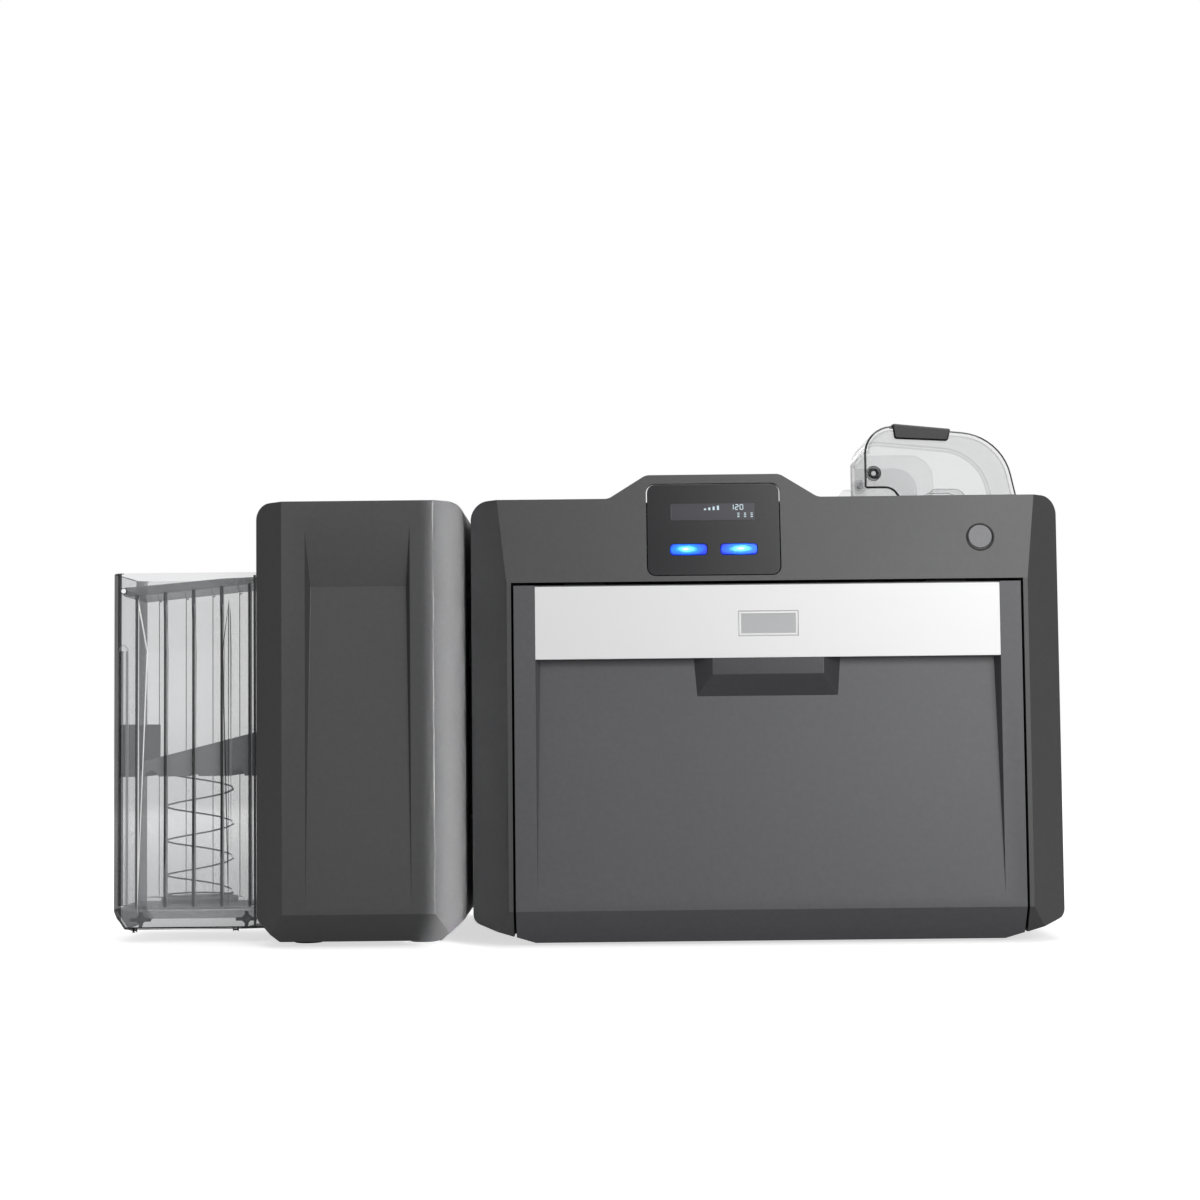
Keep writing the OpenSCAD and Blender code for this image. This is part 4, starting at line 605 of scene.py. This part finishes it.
def bright_strip():
    low, high = [Vector(c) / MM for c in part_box("silver_trim")]
    obj = start_cube("strip_painted", low, high)
    cuts = [((x, 0, 0), (1, 0, 0)) for x in BADGE_X] + [((0, 0, z), (0, 0, 1)) for z in BADGE_Z]
    for co, no in cuts:
        pick(obj, "FACE", lambda m, f: f.normal.y < -0.9)
        bpy.ops.mesh.bisect(plane_co=[c * MM for c in co], plane_no=no)
    pick(obj, "FACE", lambda m, f: f.normal.y < -0.9 and on_badge(m))
    for inward, deeper in BADGE_STEPS:
        bpy.ops.mesh.inset(thickness=inward * MM)
        bpy.ops.transform.translate(value=(0, deeper * MM, 0))
    bpy.ops.object.mode_set(mode="OBJECT")
    apply(obj, "BEVEL", width=0.12 * MM, segments=1, limit_method="ANGLE", angle_limit=math.radians(30))
    done(obj, "door", "bright_strip", finishes["bright_strip"], badge_grey)
    for face in obj.data.polygons:
        middle = face.center / MM
        if face.normal.y < -0.9 and middle.y > low.y + 0.1 and on_badge(middle):
            face.material_index = 1
    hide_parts("silver_trim")
    return obj


badge_grey = silver_paint("badge_grey", 176, 177, 178)
strip = bright_strip()
print(strip.name, [round(v / MM, 2) for v in strip.dimensions])

# %% [markdown]
# ## What the display shows
# Behind the panel's surface a low window shines faintly. Its signs are plain bars and digits, built from one
# short bar that is modelled once, bevelled, and copied with a mesh of its own each time.

# %% Display window and signs
def glow(name, colour, strength):
    f = Finish(name)
    shade = f.blend(f.noise(0.8, 2.0), [c * 0.85 for c in colour], colour)
    f.set(Base_Color=[c * 0.2 for c in colour], Roughness=0.3, Emission_Color=shade)
    f.fix("Emission Strength", strength)
    return f


def header_piece(obj, x_mm, up_mm, in_mm):
    """Turn a piece that was made round the origin into the header's lean, and move it to its place."""
    only(obj)
    obj.location = on_header(x_mm, up_mm, in_mm)
    obj.rotation_euler = (-LEAN, 0, 0)
    bpy.ops.object.transform_apply(location=True, rotation=True, scale=True)


def copy_of(obj, name):
    other = obj.copy()
    other.data = obj.data.copy()
    other.name = name
    bpy.context.scene.collection.objects.link(other)
    return other


def display_window():
    obj = start_cube("display_window", (-25.4, -0.06, -5.2), (25.4, 0.06, 5.2))
    pick(obj, "EDGE", lambda m, d: abs(d.y) > 0.1)
    bpy.ops.mesh.bevel(offset=0.8 * MM, segments=3, affect="EDGES")
    pick(obj, "FACE", lambda m, f: f.normal.y < -0.9)
    bpy.ops.mesh.inset(thickness=0.3 * MM)
    bpy.ops.transform.translate(value=(0, 0.04 * MM, 0))
    bpy.ops.object.mode_set(mode="OBJECT")
    header_piece(obj, 82.15, 42.45, 0.34)
    return done(obj, "root", "display_black", window_glow)


def sign_bar():
    obj = start_cube("sign_bar", (-0.85, -0.03, -0.24), (0.85, 0.03, 0.24))
    pick(obj, "EDGE", lambda m, d: abs(d.y) > 0.02)
    bpy.ops.mesh.bevel(offset=0.2 * MM, segments=2, affect="EDGES")
    bpy.ops.object.mode_set(mode="OBJECT")
    return obj


window_glow = glow("window_glow", srgb(52, 49, 62), 0.34)
sign_glow = glow("sign_glow", srgb(214, 236, 246), 0.9)
print("window", [round(v / MM, 1) for v in display_window().dimensions])
# Each segment of a digit: across, up, and its turn in degrees
SEGMENTS = {"a": (0, 1.9, 0), "g": (0, 0, 0), "d": (0, -1.9, 0), "f": (-0.95, 0.95, 90),
            "b": (0.95, 0.95, 90), "e": (-0.95, -0.95, 90), "c": (0.95, -0.95, 90)}
DIGITS = {"0": "abcdef", "1": "bc", "2": "abged"}
# Four rising columns of bars, three digits, and three short rows below them
signs = [(77.4 + 2.6 * i, 43.7 + 0.55 * k, 0) for i in range(4) for k in range(i + 2)]
for number, digit in enumerate("120"):
    for across, up, turn in [SEGMENTS[s] for s in DIGITS[digit]]:
        signs.append((93.6 + 2.9 * number + across * 0.9, 45.2 + up * 0.8, turn))
signs += [(97.5 + 4.0 * i, 39.2 + 1.1 * k, 0) for i in range(3) for k in range(3)]
bar = sign_bar()
for number, (x, up, turn) in enumerate(signs):
    sign = copy_of(bar, "sign_%02d" % number)
    only(sign)
    sign.scale = (0.8, 1, 0.9)
    sign.rotation_euler = (0, math.radians(turn), 0)
    bpy.ops.object.transform_apply(location=False, rotation=True, scale=True)
    header_piece(sign, x, up, 0.25)
    done(sign, "root", "display_black", sign_glow)
bpy.data.objects.remove(bar)
print("display signs:", len(signs))

# %% [markdown]
# ## A painted shadow ring round the button
# The round button sits in a hole with a soft lip, and the shadow in it reads as a black ring. A torus is
# flattened to a low bead, and it lies in the header's lean round the button.

# %% Button ring
def button_shadow_ring():
    low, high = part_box("power_button")
    middle = (Vector(low) + Vector(high)) / 2
    bpy.ops.object.select_all(action="DESELECT")
    bpy.ops.mesh.primitive_torus_add(major_radius=7.95 * MM, minor_radius=0.55 * MM, major_segments=72,
                                     minor_segments=10, rotation=(math.radians(90), 0, 0))
    obj = bpy.context.object
    obj.name = "button_shadow_ring"
    bpy.ops.object.transform_apply(location=True, rotation=True, scale=True)
    obj.scale = (1, 0.3, 1)
    bpy.ops.object.transform_apply(location=True, rotation=True, scale=True)
    header_piece(obj, middle.x / MM, (middle.z - header_z) / math.cos(LEAN) / MM, 0.0)
    # The black bead is painted shadow: it stands for the shade in the gap round the button.
    return done(obj, "root", "black_plastic", painted_shadow_black)


print("ring", [round(v / MM, 2) for v in button_shadow_ring().dimensions])

# %% [markdown]
# ## Painted shade lines at the ribs of the clear bin
# Each rib of the bin meets the front wall in a thick root, which looks like a black line with a round end.
# That black line is painted shade: one function models a slim black rod and draws its ends in, at the length
# and place of each rib. A thicker one stands where the right wall meets the front.

# %% Rib lines
RIB_FIRST, RIB_SPAN = 15.15, 70.8
RIBS = 5


def rib_shade_line(name, x, bottom, top, radius):
    bpy.ops.object.select_all(action="DESELECT")
    bpy.ops.mesh.primitive_cylinder_add(vertices=12, radius=radius * MM, depth=(top - bottom) * MM,
                                        location=(x * MM, (bin_low.y + 1.3) * MM, (bottom + top) / 2 * MM))
    obj = bpy.context.object
    obj.name = name
    bpy.ops.object.transform_apply(location=True, rotation=True, scale=True)
    pick(obj, "FACE", lambda m, f: abs(f.normal.z) > 0.9)
    bpy.ops.mesh.inset(thickness=radius * 0.5 * MM)
    for end, way in ((top, 1), (bottom, -1)):
        pick(obj, "FACE", lambda m, f: f.normal.z * way > 0.9 and abs(m.z - end) < 0.1
             and f.area < 2 * (radius * MM) ** 2)
        bpy.ops.transform.translate(value=(0, 0, way * radius * 0.6 * MM))
    # The rod's black finish is painted shade.
    return done(obj, body_of["card_bin"], "clear_smoke", black_painted_shade)


for i in range(RIBS):
    x = bin_low.x + RIB_FIRST + RIB_SPAN * i / (RIBS - 1)
    line = rib_shade_line("bin_rib_line_%d" % i, x, 21.6, 216.6 + 1.6 * i, 0.6)
    print(line.name, [round(v / MM, 1) for v in line.dimensions])
corner = rib_shade_line("bin_corner_shade_line", bin_low.x + 89.2, 9.5, 228.0, 0.8)
print(corner.name, [round(v / MM, 1) for v in corner.dimensions])

# %% [markdown]
# ## Screws at the back
# The rear panel is held by a button-head screw at each corner. One head is modelled from a cylinder: its
# rim is bevelled, and the round socket is inset and pushed in. It is then copied to the four corners.

# %% Rear screws
def screw_head():
    bpy.ops.object.select_all(action="DESELECT")
    bpy.ops.mesh.primitive_cylinder_add(vertices=28, radius=2.8 * MM, depth=1.3 * MM,
                                        rotation=(math.radians(90), 0, 0))
    obj = bpy.context.object
    obj.name = "screw_head"
    bpy.ops.object.transform_apply(location=True, rotation=True, scale=True)
    pick(obj, "EDGE", lambda m, d: m.y > 0.6)
    bpy.ops.mesh.bevel(offset=0.6 * MM, segments=3, affect="EDGES")
    pick(obj, "FACE", lambda m, f: f.normal.y > 0.99)
    bpy.ops.mesh.inset(thickness=0.7 * MM)
    bpy.ops.mesh.inset(thickness=0.15 * MM)
    bpy.ops.transform.translate(value=(0, -0.8 * MM, 0))
    bpy.ops.object.mode_set(mode="OBJECT")
    return obj


head = screw_head()
panel_low, panel_high = [Vector(c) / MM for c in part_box("rear_panel")]
SCREW_IN = 9
SCREW_SINK = 0.2
corners = [(x, z) for z in (panel_high.z - SCREW_IN, panel_low.z + SCREW_IN)
           for x in (panel_low.x + SCREW_IN, panel_high.x - SCREW_IN)]
for number, (x, z) in enumerate(corners):
    screw = copy_of(head, "rear_screw_%d" % number)
    screw.location = (x * MM, (panel_high.y - SCREW_SINK) * MM, z * MM)
    done(screw, "root", "shaft_steel", finishes["shaft_steel"])
bpy.data.objects.remove(head)
print("screws at", [(round(x), round(z)) for x, z in corners])

# %% [markdown]
# ## Floor
# The photograph has a white ground that stays white, with a soft shadow under the object. The floor is dull
# paper that also glows a little for camera rays, more so far away, where the lamps fade. Seen by other rays
# it is grey, so that it doesn't light the casings from below.

# %% Floor
FLOOR_GLOW = 0.3
GLOSSY_SHARE = 0.3
GLOW_NEAR, GLOW_FAR = 0.5, 2.2
GLOW_LOW, GLOW_HIGH = 2.15, 2.9


def white_floor():
    bpy.ops.object.select_all(action="DESELECT")
    bpy.ops.mesh.primitive_plane_add(size=16, location=(0, 0, 0))
    floor = bpy.context.object
    floor.name = "floor"
    f = Finish("floor")
    camera_ray = f.node("LightPath", out="Is Camera Ray")
    glossy_ray = f.node("LightPath", out="Is Glossy Ray")
    far = f.node("VectorMath", {0: f.place}, out="Value", operation="LENGTH")
    rise = f.node("MapRange", {"Value": far, "From Min": GLOW_NEAR, "From Max": GLOW_FAR, "To Min": GLOW_LOW,
                               "To Max": GLOW_HIGH}, out="Result", interpolation_type="SMOOTHSTEP")
    glowing = f.node("Emission", {"Strength": rise})
    f.set(Base_Color=f.blend(camera_ray, (0.3, 0.3, 0.3), (0.9, 0.9, 0.9)), Roughness=0.9)
    share = (glossy_ray * GLOSSY_SHARE + camera_ray) * FLOOR_GLOW
    mixed = f.node("MixShader", {0: share, 1: Wave(f, f.shader.outputs[0]), 2: glowing})
    f.plug(f.tree.nodes["Material Output"].inputs["Surface"], mixed)
    floor.data.materials.append(f.material)
    return floor


print("floor", [round(v, 1) for v in white_floor().dimensions])

# %% [markdown]
# ## World and lamps
# The world is white where it is seen, straight or through clear plastic, and dim where it only gives light.
# Five soft boxes light the object: a large key from the front right, a card for the leaning header, a weak
# one from the left that opens the shadows, one behind for the back, and one above. The kicker is a narrow
# strip that draws the bright line down the module's right bevel.

# %% World and lamps
WORLD_LEVEL = 0.3
KICKER_SPREAD = math.radians(1.5)


def studio_world():
    world = bpy.data.worlds.new("studio")
    bpy.context.scene.world = world
    world.use_nodes = True
    g = Graph(world.node_tree)
    ground = g.tree.nodes["Background"]
    seen = g.node("Math", {0: g.node("LightPath", out="Is Camera Ray"),
                           1: g.node("LightPath", out="Is Transmission Ray")}, operation="MAXIMUM")
    g.plug(ground.inputs["Color"], (1, 1, 1))
    g.plug(ground.inputs["Strength"], seen * (1 - WORLD_LEVEL) + WORLD_LEVEL)


def soft_box(name, place, aim, size, watts):
    data = bpy.data.lights.new(name, "AREA")
    data.shape = "RECTANGLE"
    data.size, data.size_y = size
    data.energy = watts
    lamp = bpy.data.objects.new(name, data)
    bpy.context.scene.collection.objects.link(lamp)
    lamp.location = place
    lamp.rotation_mode = "QUATERNION"
    lamp.rotation_quaternion = (Vector(aim) - Vector(place)).to_track_quat("-Z", "Y")
    return lamp


bpy.context.scene.view_settings.view_transform = "Standard"
studio_world()
soft_box("key_right", (0.98, -1.95, 0.66), (0.12, -0.12, 0.16), (1.3, 1.3), 22)
soft_box("header_card", (0.84, -1.95, 1.1), (0.15, -0.12, 0.24), (1.2, 0.5), 8)
soft_box("rear", (-0.5, 2.0, 1.1), (0.0, 0.1, 0.15), (1.4, 1.0), 14)
soft_box("front_left", (-0.9, -2.2, 0.6), (0.0, -0.12, 0.12), (0.8, 0.8), 4)
soft_box("top", (0.1, 0.1, 1.8), (0.1, 0.0, 0), (2.0, 1.4), 20)
kicker = soft_box("kicker", (0.26, -0.72, 0.2), (-0.079, -0.107, 0.15), (0.02, 0.32), 0.115)
kicker.data.spread = KICKER_SPREAD
kicker.visible_camera = False

# %% [markdown]
# ## Update
# The dressed object has to fill the same box as the construction. The view layer is brought up to date.

# %% Update
bpy.context.view_layer.update()
